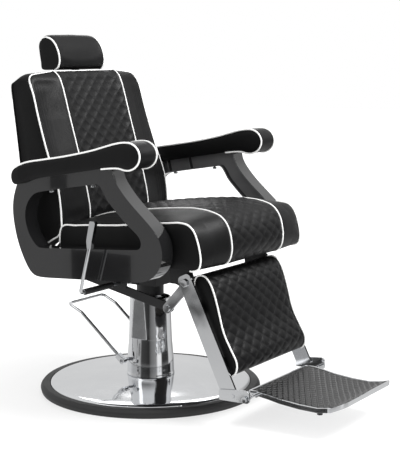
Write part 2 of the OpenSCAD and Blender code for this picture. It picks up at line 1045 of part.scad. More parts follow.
// Plan outline of the tray, smaller by d
module foot_plan(d, low, high) {
    translate([0, 0, low])
        linear_extrude(high - low)
            polygon(rounded([
                [-foot_half_w + d, foot_rear - d, 6], [-foot_half_w + d, foot_front + d, 40 - d],
                [foot_half_w - d, foot_front + d, 40 - d], [foot_half_w - d, foot_rear - d, 6],
            ]));
}

// Sheet that follows the tray's curve, from a below it to b below it
module foot_sheet(a, b) {
    side_plate(-foot_half_w - 5, foot_half_w + 5, concat(
        [for (p = foot_curve) [p.x, p.y - b]],
        [for (i = [len(foot_curve) - 1:-1:0]) [foot_curve[i].x, foot_curve[i].y - a]]
    ));
}

module footplate() {
    color(chrome)
        difference() {
            union() {
                intersection() {
                    foot_sheet(0, 12);
                    foot_plan(0, 40, 120);
                }
                both_sides()
                    cross_rod(8, -foot_half_w, -foot_half_w + 60, footplate_axis);
            }
            intersection() {
                foot_sheet(-1, 4);
                foot_plan(6, 40, 120);
            }
            cross_rod(4 + run, -160, 160, footplate_axis);
        }
}

module footplate_mat() {
    color(rubber)
        intersection() {
            foot_sheet(-1, 4);
            foot_plan(6, 40, 120);
        }
}

// Rubber feet under the front corners
module footplate_feet() {
    color(rubber)
        both_sides()
            translate([foot_half_w - 22, -608, 54])
                cylinder(r = 7, h = 10);
}

base_plate();
base_ring();
base_dome();
base_bolts();
pump_body();
gland_nut();
rod_seal();
column_shroud();
shroud_screws();
pedal_shaft();
pedal_loop();
pedal_clamps();
pump_plunger();
plunger_spring();
piston_rod();
thrust_bearing();
swivel_hub();
seat_plate();
frame_bolts();
seat_frame();
seat_board();
seat_cushion();
hinge_brackets();
legrest_hangers();
arm_brackets();
left_arm_frame();
right_arm_frame();
left_arm_pad();
right_arm_pad();
arm_pad_screws();
lock_cylinder();
lock_clamps();
lever_bearings();
lever_shaft();
recline_lever();
lever_sleeve();
lever_grip();
release_pin();
lock_rod();
recline_link();
back_brackets();
back_axle();
back_pins();
back_board();
back_cushion();
headrest_socket();
headrest_post();
headrest_cushion();
legrest_bars();
legrest_axle();
legrest_crank();
legrest_straps();
legrest_pivot_bolts();
calf_board();
calf_pad();
foot_brackets();
footplate_rod();
footplate();
footplate_mat();
footplate_feet();
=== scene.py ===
"""Looks of the hydraulic barber chair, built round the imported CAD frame. Metres; the sitter faces -Y."""
import copy
import json
import math

import bmesh
import bpy
import numpy as np
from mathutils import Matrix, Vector

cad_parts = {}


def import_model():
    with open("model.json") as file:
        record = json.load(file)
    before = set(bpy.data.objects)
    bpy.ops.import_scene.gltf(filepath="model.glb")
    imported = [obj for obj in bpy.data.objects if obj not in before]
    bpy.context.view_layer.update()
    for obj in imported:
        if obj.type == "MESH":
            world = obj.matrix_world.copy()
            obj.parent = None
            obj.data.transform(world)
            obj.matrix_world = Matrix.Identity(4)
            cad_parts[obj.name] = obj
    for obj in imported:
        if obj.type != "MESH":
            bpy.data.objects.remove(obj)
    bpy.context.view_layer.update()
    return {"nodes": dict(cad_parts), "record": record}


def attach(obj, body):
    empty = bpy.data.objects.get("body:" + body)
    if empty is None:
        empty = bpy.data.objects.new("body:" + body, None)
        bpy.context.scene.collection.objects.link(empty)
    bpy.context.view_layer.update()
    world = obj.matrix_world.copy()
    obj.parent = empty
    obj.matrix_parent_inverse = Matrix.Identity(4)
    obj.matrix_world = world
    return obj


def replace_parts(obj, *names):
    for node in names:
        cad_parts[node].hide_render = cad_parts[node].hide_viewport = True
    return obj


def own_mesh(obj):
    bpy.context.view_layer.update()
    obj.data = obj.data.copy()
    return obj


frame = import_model()
MM = 0.001
BODY_OF = {n: b for b, ns in frame["record"]["behaviour"]["bodies"].items() for n in ns}
SLOT_OF = {s["node"]: s["material_slot"] for s in frame["record"]["subparts"]}

# Diamonds of the quilting: full width and full height
QUILT_W = 45 * MM
QUILT_H = 37 * MM
PIPING_R = 2.3 * MM
# How deep a seam pulls the cover in, and how wide
SEAM_DIP = 2.2 * MM
SEAM_WIDTH = 5 * MM
# Steps of a finished cover for each step of its simulated form
FINE = 3
# Furthest that a side face may swell
SIDE_CAP = 5 * MM
# Stretch of a grain that is the same in all directions
EVEN = (1, 1, 1)


# ---- materials


def new_material(name, colour, roughness, metallic=0.0, **sockets):
    m = bpy.data.materials.new(name)
    m.use_nodes = True
    shader = m.node_tree.nodes["Principled BSDF"]
    shader.inputs["Base Color"].default_value = (*colour, 1)
    shader.inputs["Roughness"].default_value = roughness
    shader.inputs["Metallic"].default_value = metallic
    for key, value in sockets.items():
        shader.inputs[key.replace("_", " ")].default_value = value
    return m, m.node_tree, shader


def put(thing, **values):
    """The same thing with properties set."""
    for key, value in values.items():
        setattr(thing, key, value)
    return thing


def add(tree, kind, inputs=None, **props):
    """A shader node with its properties set. Inputs are values or other nodes' sockets."""
    n = put(tree.nodes.new("ShaderNode" + kind), **props)
    for key, value in (inputs or {}).items():
        if isinstance(value, bpy.types.NodeSocket):
            tree.links.new(value, n.inputs[key])
        else:
            n.inputs[key].default_value = value
    return n


def rest_coords(tree, scale=EVEN):
    """Place on the object at rest, stretched by scale."""
    at = add(tree, "TexCoord").outputs["Object"]
    return add(tree, "Mapping", {"Vector": at, "Scale": scale}).outputs["Vector"]


def noise(tree, scale, detail=3.0, stretch=EVEN):
    wanted = {"Vector": rest_coords(tree, stretch), "Scale": scale, "Detail": detail}
    return add(tree, "TexNoise", wanted).outputs["Fac"]


def calc(tree, operation, *values):
    """Result of a sum on one or two values or sockets."""
    return add(tree, "Math", dict(enumerate(values)), operation=operation).outputs[0]


def spread(tree, value, low, high, start=0.0, stop=1.0, **props):
    """A value from start to stop, mapped to low to high."""
    wanted = {"Value": value, "From Min": start, "From Max": stop, "To Min": low, "To Max": high}
    return add(tree, "MapRange", wanted, **props).outputs["Result"]


def two_tone(tree, value, first, second):
    wanted = {"Factor": value, "A": (*first, 1), "B": (*second, 1)}
    return add(tree, "Mix", wanted, data_type="RGBA").outputs["Result"]


def bump(tree, shader, height, strength, distance, below=None):
    wanted = {"Height": height, "Strength": strength, "Distance": distance}
    if below is not None:
        wanted["Normal"] = below
    out = add(tree, "Bump", wanted).outputs["Normal"]
    tree.links.new(out, shader.inputs["Normal"])
    return out


def vary(tree, shader, value, rough, tones):
    """Roughness and colour that run between two values each, as value runs from 0 to 1."""
    if rough:
        tree.links.new(spread(tree, value, *rough), shader.inputs["Roughness"])
    tree.links.new(two_tone(tree, value, *tones), shader.inputs["Base Color"])


def finish(name, colour, roughness, grain, wear_and_sheen, rough, tones, metallic=0.0, **sockets):
    """A material with a fine grain in relief, and wear that varies its roughness and colour.
    On the inside of the arm mouldings that colour is painted reflection, mottled by the same noise.
    grain is (strength, depth, scale, detail, stretch) and wear_and_sheen is (scale, detail, stretch)."""
    m, tree, shader = new_material(name, colour, roughness, metallic, **sockets)
    strength, depth, *relief = grain
    bump(tree, shader, noise(tree, *relief), strength, depth)
    vary(tree, shader, noise(tree, *wear_and_sheen), rough, tones)
    return m


# Slow changes of sheen where a cover is stretched: scale and detail of the noise
LEATHER_WEAR = (9.0, 4.0)


def leather_grain(tree, shader):
    """Fine pebbled grain with pores."""
    cells = add(tree, "TexVoronoi", {"Vector": rest_coords(tree), "Scale": 850.0}, feature="SMOOTH_F1")
    pores = calc(tree, "MULTIPLY", noise(tree, 2600.0, 2.0), 0.35)
    height = calc(tree, "ADD", cells.outputs["Distance"], pores)
    return bump(tree, shader, height, 0.35, 0.0004)


def leather():
    m, tree, shader = new_material("black_leather", (0.005, 0.005, 0.0053), 0.42, Specular_IOR_Level=0.18)
    leather_grain(tree, shader)
    tones = (0.003, 0.003, 0.0031), (0.006, 0.006, 0.0063)
    vary(tree, shader, noise(tree, *LEATHER_WEAR), (0.36, 0.5), tones)
    return m


def line_distance(tree, coord):
    """How far a coordinate is from the nearest whole number, 0 to 0.5."""
    past = calc(tree, "FRACT", calc(tree, "ADD", coord, 0.5))
    return calc(tree, "ABSOLUTE", calc(tree, "SUBTRACT", past, 0.5))


def quilted_leather():
    """Leather with a row of stitches along every quilting line. Its UV map is in metres."""
    m, tree, shader = new_material("quilted_leather", (0.005, 0.005, 0.0053), 0.46, Specular_IOR_Level=0.2)
    grain = leather_grain(tree, shader)
    panel = add(tree, "UVMap", uv_map="panel").outputs["UV"]
    uv = add(tree, "SeparateXYZ", {"Vector": panel})
    across = calc(tree, "DIVIDE", uv.outputs["X"], QUILT_W)
    along = calc(tree, "DIVIDE", uv.outputs["Y"], QUILT_H)
    line_width, gap, stitches_a_diamond = 0.022, 0.13, 3.0
    rows = []
    for first, second in (("ADD", "SUBTRACT"), ("SUBTRACT", "ADD")):
        away = line_distance(tree, calc(tree, first, across, along))
        near = calc(tree, "LESS_THAN", away, line_width)
        run = calc(tree, "MULTIPLY", calc(tree, second, across, along), stitches_a_diamond)
        dash = calc(tree, "GREATER_THAN", line_distance(tree, run), gap)
        rows.append(calc(tree, "MULTIPLY", near, dash))
    stitches = calc(tree, "MAXIMUM", *rows)
    bump(tree, shader, stitches, 0.6, 0.0005, grain)
    vary(tree, shader, stitches, None, ((0.005, 0.005, 0.0053), (0.012, 0.012, 0.0123)))
    tree.links.new(spread(tree, noise(tree, *LEATHER_WEAR), 0.38, 0.52), shader.inputs["Roughness"])
    return m


def piping_leather():
    return finish(
        "white_piping", (0.88, 0.88, 0.87), 0.38, grain=(0.15, 0.0003, 1500.0, 2.0), wear_and_sheen=(25.0, 4.0),
        rough=None, tones=((0.84, 0.84, 0.83), (0.92, 0.92, 0.91)),
    )


def chrome():
    return finish(
        "mirror_chrome", (0.78, 0.79, 0.81), 0.05, grain=(0.02, 0.0002, 900.0, 2.0, (1, 1, 0.08)),
        wear_and_sheen=(18.0, 5.0), rough=(0.03, 0.1), tones=((0.74, 0.75, 0.77), (0.82, 0.83, 0.84)), metallic=1.0,
    )


def brushed_steel():
    lines = 1400.0, 3.0, (1, 1, 0.05)
    return finish(
        "zinc_steel", (0.5, 0.51, 0.53), 0.3, grain=(0.1, 0.0002, *lines), wear_and_sheen=lines,
        rough=(0.22, 0.42), tones=((0.44, 0.45, 0.47), (0.56, 0.57, 0.59)), metallic=1.0,
    )


def powder_coat():
    return finish(
        "black_powder_coat", (0.02, 0.02, 0.022), 0.45, grain=(0.25, 0.0004, 700.0, 3.0),
        wear_and_sheen=(30.0, 4.0), rough=(0.38, 0.55), tones=((0.006, 0.006, 0.007), (0.014, 0.014, 0.015)),
    )


def gloss_black():
    """Lacquered moulding with a faint orange peel."""
    return finish(
        "gloss_black", (0.01, 0.01, 0.0105), 0.07, grain=(0.03, 0.0008, 110.0, 2.0), wear_and_sheen=(14.0, 4.0),
        rough=(0.05, 0.12), tones=((0.008, 0.008, 0.0085), (0.013, 0.013, 0.0135)),
        Coat_Weight=1.0, Coat_Roughness=0.03,
    )


def rubber(name, dark, light, smooth, rough, shine):
    return finish(
        name, dark, rough, grain=(0.2, 0.0003, 1200.0, 3.0), wear_and_sheen=(16.0, 5.0),
        rough=(smooth, rough), tones=(dark, light), Specular_IOR_Level=shine,
    )


def inner_painted_reflection():
    """Inside of the arm mouldings: rougher than the gloss, and a lighter, mottled grey
    that is painted reflection of the bright room.
    """
    return finish(
        "inner_painted_reflection", (0.05, 0.05, 0.052), 0.5, grain=(0.15, 0.0003, 800.0, 2.0),
        wear_and_sheen=(22.0, 4.0, (1, 0.3, 1)), rough=(0.4, 0.6), tones=((0.08, 0.08, 0.082), (0.14, 0.14, 0.143)),
    )


def plywood():
    """Black-stained plies with grain along X."""
    m, tree, shader = new_material("stained_plywood", (0.02, 0.018, 0.016), 0.6)
    grain = noise(tree, 160.0, 5.0, (0.06, 1, 1))
    wanted = {"Vector": rest_coords(tree), "Scale": 105.0, "Distortion": 0.4}
    plies = add(tree, "TexWave", wanted, bands_direction="Z")
    both = calc(tree, "MULTIPLY", grain, plies.outputs["Fac"])
    vary(tree, shader, both, None, ((0.01, 0.009, 0.008), (0.035, 0.03, 0.026)))
    bump(tree, shader, grain, 0.2, 0.0003)
    return m


MATERIALS = {
    "leather": leather(),
    "quilted": quilted_leather(),
    "piping": piping_leather(),
    "chrome": chrome(),
    "steel": brushed_steel(),
    "black_steel": powder_coat(),
    "gloss_black": gloss_black(),
    # The arm frames' inward faces: a lighter grey that is painted reflection of the room
    "inner": inner_painted_reflection(),
    "rubber": rubber("black_rubber", (0.012, 0.012, 0.0125), (0.026, 0.026, 0.027), 0.5, 0.7, 0.5),
    "mat": rubber("mat_rubber", (0.009, 0.009, 0.0093), (0.016, 0.016, 0.0163), 0.2, 0.3, 0.7),
    "plywood": plywood(),
}


# ---- geometry helpers


def in_scene(name, data):
    """A new object of the scene that shows the data."""
    obj = bpy.data.objects.new(name, data)
    bpy.context.scene.collection.objects.link(obj)
    return obj


def new_piece(name, verts, faces, body, slot, materials=None):
    """A smooth mesh piece that rides on a body. Its slot gives its material, unless others are named."""
    mesh = bpy.data.meshes.new(name)
    mesh.from_pydata(np.asarray(verts, float).tolist(), [], faces)
    mesh.validate()
    for m in materials or [slot]:
        mesh.materials.append(MATERIALS[m])
    mesh.polygons.foreach_set("use_smooth", [True] * len(mesh.polygons))
    obj = in_scene(name, mesh)
    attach(obj, body)
    return obj


def running(lengths):
    """The sums so far, from 0 to the whole."""
    return np.concatenate([[0], np.cumsum(lengths)])


def smooth_line(points, counts, corners=(), closed=True):
    """Points on a smooth line through the anchors, counts[k] of them from anchor k on.
    The line turns sharply at corners."""
    p = np.asarray(points, float)
    n = len(p)
    out = []
    for k in range(n if closed else n - 1):
        p1, p2 = p[k], p[(k + 1) % n]
        first = k in corners or (not closed and k == 0)
        last = (k + 1) % n in corners or (not closed and k + 2 >= n)
        p0 = 2 * p1 - p2 if first else p[k - 1]
        p3 = 2 * p2 - p1 if last else p[(k + 2) % n]
        d1, d2, d3 = (max(np.linalg.norm(b - a), 1e-9) ** 0.5 for a, b in ((p0, p1), (p1, p2), (p2, p3)))
        m1 = d2 * ((p1 - p0) / d1 - (p2 - p0) / (d1 + d2) + (p2 - p1) / d2)
        m2 = d2 * ((p2 - p1) / d2 - (p3 - p1) / (d2 + d3) + (p3 - p2) / d3)
        t = np.linspace(0, 1, counts[k], endpoint=False)[:, None]
        out.append(
            (2 * t**3 - 3 * t**2 + 1) * p1
            + (t**3 - 2 * t**2 + t) * m1
            + (3 * t**2 - 2 * t**3) * p2
            + (t**3 - t**2) * m2
        )
    if not closed:
        out.append(p[-1:])
    return np.concatenate(out)


def evenly(points, n, closed=True):
    """n points spread evenly along a line of straight pieces."""
    p = np.asarray(points, float)
    if closed:
        p = np.vstack([p, p[:1]])
    at = running(np.linalg.norm(np.diff(p, axis=0), axis=1))
    wanted = np.linspace(0, at[-1], n, endpoint=not closed)
    return np.stack([np.interp(wanted, at, p[:, k]) for k in range(p.shape[1])], axis=1)


def finer(a, factor, axis, closed=False):
    """The same array with factor - 1 more rows between neighbours, on smooth lines through the old ones."""
    a = np.moveaxis(a, axis, 0)
    n = len(a)
    k = np.arange(n if closed else n - 1)
    rows = [a[(k + d) % n] if closed else a[np.clip(k + d, 0, n - 1)] for d in (-1, 0, 1, 2)]
    steps = []
    for s in range(factor):
        t = s / factor
        w = (-t + 2 * t**2 - t**3, 2 - 5 * t**2 + 3 * t**3, t + 4 * t**2 - 3 * t**3, t**3 - t**2)
        steps.append(sum(wk / 2 * r for wk, r in zip(w, rows)))
    out = np.stack(steps, 1).reshape(-1, *a.shape[1:])
    if not closed:
        out = np.concatenate([out, a[-1:]])
    return np.moveaxis(out, 0, axis)


def grid_normals(grid):
    """Outward unit normals of a grid of closed loops set side by side along +X."""
    along = np.roll(grid, -1, 1) - np.roll(grid, 1, 1)
    across = np.gradient(grid, axis=0)
    n = np.cross(along, across)
    return n / np.maximum(np.linalg.norm(n, axis=2, keepdims=True), 1e-12)


def ring_faces(count, around):
    """Quads between count loops of points set side by side, with so many points around each."""
    quads = []
    for i in range(count - 1):
        a, b = i * around, (i + 1) * around
        quads += [(a + j, a + (j + 1) % around, b + (j + 1) % around, b + j) for j in range(around)]
    return quads


def tube(name, path, radius, body, slot, sides=12):
    """Round rod or cord along a path, with domed ends."""
    path = np.asarray(path, float)
    steps = np.gradient(path, axis=0)
    steps /= np.linalg.norm(steps, axis=1, keepdims=True)
    rings = []
    up = Vector((0.3, 0.2, 0.93)).cross(Vector(steps[0]))
    for d in steps:
        d = Vector(d)
        up = (up - d * up.dot(d)).normalized()
        rings.append((up, d.cross(up)))
    dome = [(-0.5, 0.86), (-0.85, 0.5)]
    stations = [(0, s * radius, r) for s, r in reversed(dome)]
    stations += [(k, 0, 1) for k in range(len(path))]
    stations += [(len(path) - 1, -s * radius, r) for s, r in dome]
    verts = []
    for k, shift, share in stations:
        a, b = rings[k]
        centre = Vector(path[k]) + Vector(steps[k]) * shift
        for j in range(sides):
            t = 2 * math.pi * j / sides
            verts.append(centre + (a * math.cos(t) + b * math.sin(t)) * radius * share)
    n = len(stations)
    faces = ring_faces(n, sides)
    faces.append(tuple(range(sides - 1, -1, -1)))
    faces.append(tuple((n - 1) * sides + j for j in range(sides)))
    return new_piece(name, [tuple(v) for v in verts], faces, body, slot)


def ladder_ends(count):
    """Points of a closed loop joined straight across, from those after its tip at 0 to those before it."""
    near = list(range(1, count // 2))
    return near, [count - k for k in near]


def ladder(loop, rungs, bulge, side):
    """Points inside a closed loop, on rungs from one half to the other, pushed out along X by up to bulge."""
    near, far = ladder_ends(len(loop))
    s = np.arange(1, rungs) / rungs
    a, b = loop[near][:, None], loop[far][:, None]
    out = a + (b - a) * s[None, :, None]
    t = np.arange(1, len(near) + 1) / (len(near) + 1)
    share = (4 * s * (1 - s))[None, :] ** 0.6 * np.minimum(1, 12 * t * (1 - t))[:, None]
    out[..., 0] += side * bulge * share
    return out


class Form:
    """A stuffed form: closed loops set side by side, and a flat side face at each end."""

    def __init__(self, grid, rungs, bulge):
        self.grid = grid
        self.sides = [ladder(grid[0], rungs, bulge, -1), ladder(grid[-1], rungs, bulge, 1)]

    def flat(self):
        return np.concatenate([self.grid.reshape(-1, 3)] + [s.reshape(-1, 3) for s in self.sides])

    def take(self, points):
        count = self.grid.shape[0] * self.grid.shape[1]
        shape = self.sides[0].shape
        self.grid = points[:count].reshape(self.grid.shape)
        self.sides = [half.reshape(shape) for half in np.split(points[count:], 2)]

    def faces(self):
        ni, nj = self.grid.shape[:2]
        out = ring_faces(ni, nj)
        rows, cols = self.sides[0].shape[:2]
        near, far = ladder_ends(nj)
        for end, first in enumerate((0, (ni - 1) * nj)):
            own = ni * nj + end * rows * cols
            index = np.full((rows + 2, cols + 2), first)
            index[-1] += nj // 2
            index[1:-1, 0] += near
            index[1:-1, -1] += far
            index[1:-1, 1:-1] = own + np.arange(rows * cols).reshape(rows, cols)
            corners = [index[:-1, :-1], index[1:, :-1], index[1:, 1:], index[:-1, 1:]]
            for f in np.stack(corners, 2).reshape(-1, 4).tolist():
                f = [v for m, v in enumerate(f) if v != f[m - 1]]
                out.append(tuple(f) if end else tuple(reversed(f)))
        return out

    def refine(self, factor_x, factor_loop):
        grid = finer(finer(self.grid, factor_loop, 1, True), factor_x, 0)
        new_sides = []
        for end, side in enumerate(self.sides):
            old = self.grid[-end]
            near, far = ladder_ends(len(old))
            full = np.concatenate([old[near][:, None], side, old[far][:, None]], 1)
            tips = [np.repeat(old[k][None, None], full.shape[1], 1) for k in (0, len(old) // 2)]
            full = finer(np.concatenate([tips[0], full, tips[1]], 0), factor_loop, 0)
            full = finer(full, factor_x, 1)
            new_sides.append(full[1:-1, 1:-1])
        self.grid, self.sides = grid, new_sides
        return self


def eased(move, hold, closed):
    """Displacements with their fine wrinkles smoothed out. hold keeps seams still."""
    for _ in range(5):
        p = np.pad(move, ((1, 1), (0, 0), (0, 0)), mode="edge")
        q = np.pad(move, ((0, 0), (1, 1), (0, 0)), mode="wrap" if closed else "edge")
        move = hold * (0.4 * move + 0.15 * (p[:-2] + p[2:] + q[:, :-2] + q[:, 2:]))
    return move


def swell(jobs):
    """Blows forms up as cloth under pressure, all at once. Each job is (form, free, cap): free is each grid
    point's freedom, 0 where a seam or board holds it, and cap is the furthest it may move."""
    scene = bpy.context.scene
    last = 14
    made = []
    for form, free, cap in jobs:
        mesh = bpy.data.meshes.new("cloth")
        rest = form.flat()
        mesh.from_pydata(rest.tolist(), [], form.faces())
        obj = in_scene("cloth", mesh)
        held = obj.vertex_groups.new(name="held")
        weights = np.ones(len(rest))
        weights[: free.size] = free.ravel()
        for k in np.nonzero(weights < 1)[0]:
            held.add([int(k)], float(1 - weights[k]), "REPLACE")
        cloth = obj.modifiers.new("Cloth", "CLOTH")
        put(cloth.point_cache, frame_start=1, frame_end=last)
        put(cloth.settings, quality=5, vertex_group_mass="held", use_pressure=True)
        put(cloth.settings, uniform_pressure_force=6.0, shrink_min=-0.004)
        put(cloth.settings, tension_stiffness=6, compression_stiffness=6, bending_stiffness=2.0)
        cloth.settings.effector_weights.gravity = 0
        made.append((obj, form, rest, free, cap))
    for f in range(1, last + 1):
        scene.frame_set(f)
    graph = bpy.context.evaluated_depsgraph_get()
    for obj, form, rest, free, cap in made:
        done = obj.evaluated_get(graph).to_mesh()
        co = np.zeros(len(rest) * 3)
        done.vertices.foreach_get("co", co)
        moves = copy.copy(form)
        moves.take(co.reshape(-1, 3) - rest)
        limits = [cap[..., None]] + [np.full((1, 1, 1), SIDE_CAP)] * 2
        holds = [free[..., None]] + [np.ones((1, 1, 1))] * 2
        parts = []
        for k, (move, limit, hold) in enumerate(zip([moves.grid] + moves.sides, limits, holds)):
            far = np.linalg.norm(move, axis=2, keepdims=True)
            move = move / np.maximum(far, 1e-9) * limit * np.tanh(far / np.maximum(limit, 1e-9))
            parts.append(eased(move, hold, k == 0).reshape(-1, 3))
        form.take(rest + np.concatenate(parts))
    for obj, *_ in made:
        bpy.data.meshes.remove(obj.data)
    scene.frame_set(1)


def ramp(distance, width):
    """0 at distance 0, 1 from width on, smooth between."""
    t = np.clip(np.abs(distance) / width, 0, 1)
    return t * t * (3 - 2 * t)


def quilt_height(u, v, depth):
    """Pillows between crossing stitched lines: 0 on a line, depth in the middle of a diamond."""
    a, b = u / QUILT_W + v / QUILT_H, u / QUILT_W - v / QUILT_H
    return depth * (np.abs(np.sin(math.pi * a) * np.sin(math.pi * b))) ** 0.55


def loop_length(grid):
    """Length along the middle loop, from its first point."""
    middle = grid[len(grid) // 2]
    return running(np.linalg.norm(np.roll(middle, -1, 0) - middle, axis=1))


def cushion(name, form, body, node, quilt=None, seams=(), quilt_depth=2.2 * MM):
    """Makes the piece from a finished form. quilt is (first column, last column, first row, last row) of the
    quilted panel. seams are (column, first row, last row) that the cover is pulled in along."""
    normals = grid_normals(form.grid)
    length = loop_length(form.grid)
    ni, nj = form.grid.shape[:2]
    xs = form.grid[:, nj // 2, 0]
    offset = np.zeros((ni, nj))
    if quilt:
        i0, i1, j0, j1 = quilt
        u = form.grid[i0 : i1 + 1, j0 : j1 + 1, 0]
        v = np.broadcast_to(length[j0 : j1 + 1][None], u.shape)
        fade = np.minimum(ramp(u - xs[i0], 5 * MM), ramp(u - xs[i1], 5 * MM))
        fade = fade * ramp(v - length[j0], 8 * MM) * ramp(v - length[j1], 8 * MM)
        offset[i0 : i1 + 1, j0 : j1 + 1] += fade * (quilt_height(u, v, quilt_depth) - quilt_depth * 0.55)
    for column, first, final in seams:
        away = form.grid[..., 0] - form.grid[column, :, 0][None]
        dip = SEAM_DIP * np.exp(-((away / SEAM_WIDTH) ** 2))
        offset[:, first : final + 1] -= dip[:, first : final + 1]
        # The stitched leather runs on to the ends of the seams beside it
        j0, j1 = first, final
    form.grid = form.grid + normals * offset[..., None]
    co = form.flat()
    obj = new_piece(name, co, form.faces(), body, "leather", ["leather", "quilted"])
    mesh = obj.data
    uv = mesh.uv_layers.new(name="panel")
    for poly in mesh.polygons:
        main = max(poly.vertices) < ni * nj
        rows = [v % nj for v in poly.vertices]
        wrap = main and max(rows) - min(rows) > 1
        cols = [v // nj for v in poly.vertices]
        if quilt and main and not wrap and min(cols) >= i0 and max(cols) <= i1:
            poly.material_index = int(min(rows) >= j0 and max(rows) <= j1)
        for loop, v, row in zip(poly.loop_indices, poly.vertices, rows):
            if main:
                uv.data[loop].uv = (co[v][0], length[nj] if wrap and row == 0 else length[row])
            else:
                uv.data[loop].uv = (co[v][1], co[v][2])
    mesh.set_sharp_from_angle(angle=math.radians(50))
    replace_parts(obj, node)
    return obj


def seam_path(form, steps, lift=1.2 * MM):
    """Points just proud of the cover along grid steps (column, row). An end column's stand off the corner."""
    normals = grid_normals(form.grid)
    out = []
    last = form.grid.shape[0] - 1
    for i, j in steps:
        n = normals[i, j].copy()
        if i in (0, last):
            n[0] = -1.0 if i == 0 else 1.0
            n /= np.linalg.norm(n)
        out.append(form.grid[i, j] + n * lift)
    return evenly(out, max(8, int(len(out) * 0.8)), closed=False)


def column_steps(column, j0, j1):
    step = 1 if j1 >= j0 else -1
    return [(column, j) for j in range(j0, j1 + step, step)]


def piping(name, form, steps, body):
    return tube(name, seam_path(form, steps), PIPING_R, body, "piping")


def pipings(form, body, columns, j0, j1):
    """Cords along whole columns, by name, between two rows."""
    return [piping(name, form, column_steps(column, j0, j1), body) for name, column in columns.items()]


def columns(inner, edge, fine, extra=()):
    """Column places from -edge to edge, with one at each inner seam."""
    middle = np.linspace(0, inner, round(inner / fine) + 1)
    outer = np.linspace(inner, edge, round((edge - inner) / fine) + 1)
    half = sorted({round(x, 3) for x in (*middle, *outer)} | set(extra))
    return np.array([-x for x in reversed(half[1:])] + half)


def seam_columns(xs, seam):
    """The finished grid's columns at the two inner seams."""
    return [int(np.argmin(np.abs(xs - x))) * FINE for x in (-seam, seam)]


def loops(xs, section, counts, corners):
    rows = [smooth_line(section(x), counts, corners) for x in xs]
    return np.array([[(x, p[0], p[1]) for p in row] for x, row in zip(xs, rows)]) * MM


def freedom(form, xs, edge, width, seam=None):
    """How free each grid point is to swell: not at the edges nor at an inner seam."""
    across = ramp(np.abs(xs) - edge, width)
    if seam:
        across = np.minimum(ramp(np.abs(xs) - seam, 16), across)
    return np.ones(form.grid.shape[:2]) * across[:, None]


# ---- seat cushion

# Grid steps from each point of a side view to the next. A form's starts[k] is the row of point k.
SEAT_COUNTS = [4, 3, 3, 5, 5, 12, 12, 6, 6, 5, 4, 4, 4, 4, 3, 3, 3, 3, 42, 3]
# Side views at the inner and outer seams, in millimetres, from the rear bottom up, forwards, and back below.
SEAT_INNER = [
    (112, 428), (113, 452), (110, 474), (100, 489), (62, 504), (21, 514), (-84, 529), (-191, 540),
    (-243, 542), (-288, 537), (-319, 526), (-339, 504), (-350, 469), (-351, 435), (-341, 411), (-326, 403),
    (-307, 403), (-305.5, 406), (-305.5, 427.5), (106, 427.5),
]
SEAT_OUTER = [
    (112, 420), (113, 446), (109, 474), (99, 484), (60, 487), (20, 491), (-75, 498), (-180, 510.5),
    (-232, 516), (-273, 520), (-298, 516), (-314, 503), (-327, 474), (-335, 430), (-329, 410), (-312, 403),
    (-305, 403), (-303, 403.5), (-300, 404), (106, 404),
]
SEAT_SEAM = 130
SEAT_EDGE = 250
SEAT_CORNERS = (0, 16, 17, 18, 19)


def seat_section(x):
    inner, outer = np.array(SEAT_INNER, float), np.array(SEAT_OUTER, float)
    share = np.clip((abs(x) - SEAT_SEAM) / (SEAT_EDGE - SEAT_SEAM), 0, 1)
    p = inner + (outer - inner) * share
    p[4:11, 1] += 4.0 * (1 - (min(abs(x), SEAT_SEAM) / SEAT_SEAM) ** 2)
    p[0] = (112, 428 if abs(x) <= 200 else 408)
    if abs(x) <= 240:
        p[17:20] = [(-305.5, 406), (-305.5, 427.5), (106, 427.5)]
    else:
        p[17:20] = [(-304, 403.5), (-300, 404), (106, 404)]
    return p


def seat_form():
    xs = columns(SEAT_SEAM, SEAT_EDGE, 9.3, (198.0, 202.0, 238.0, 242.0))
    form = Form(loops(xs, seat_section, SEAT_COUNTS, SEAT_CORNERS), 8, 2 * MM)
    starts = running(SEAT_COUNTS)
    free = freedom(form, xs, SEAT_EDGE, 12, SEAT_SEAM)
    free[:, starts[15] :] = 0
    free[:, : starts[1]] = 0
    cap = np.where(np.abs(xs)[:, None] < SEAT_SEAM, 5 * MM, 9 * MM) * np.ones_like(free)
    return form, free, cap, xs, starts


def build_seat(form, xs, starts):
    form.refine(FINE, FINE)
    inner = seam_columns(xs, SEAT_SEAM)
    low, high = starts[1] * FINE, starts[16] * FINE
    quilt = (*inner, starts[3] * FINE, starts[15] * FINE)
    cushion("seat_cushion_cover", form, "seat", "seat_cushion", quilt, [(c, low, high) for c in inner])
    along = (0, *inner, form.grid.shape[0] - 1)
    pipings(form, "seat", {f"seat_piping_{k + 1}": c for k, c in enumerate(along)}, low - 3, high)


# ---- back cushion

BACK_COUNTS = [3, 4, 4, 3, 3, 3, 4, 4, 6, 11, 12, 10, 4, 3, 3, 3, 4, 6, 7, 11, 11, 9, 2]
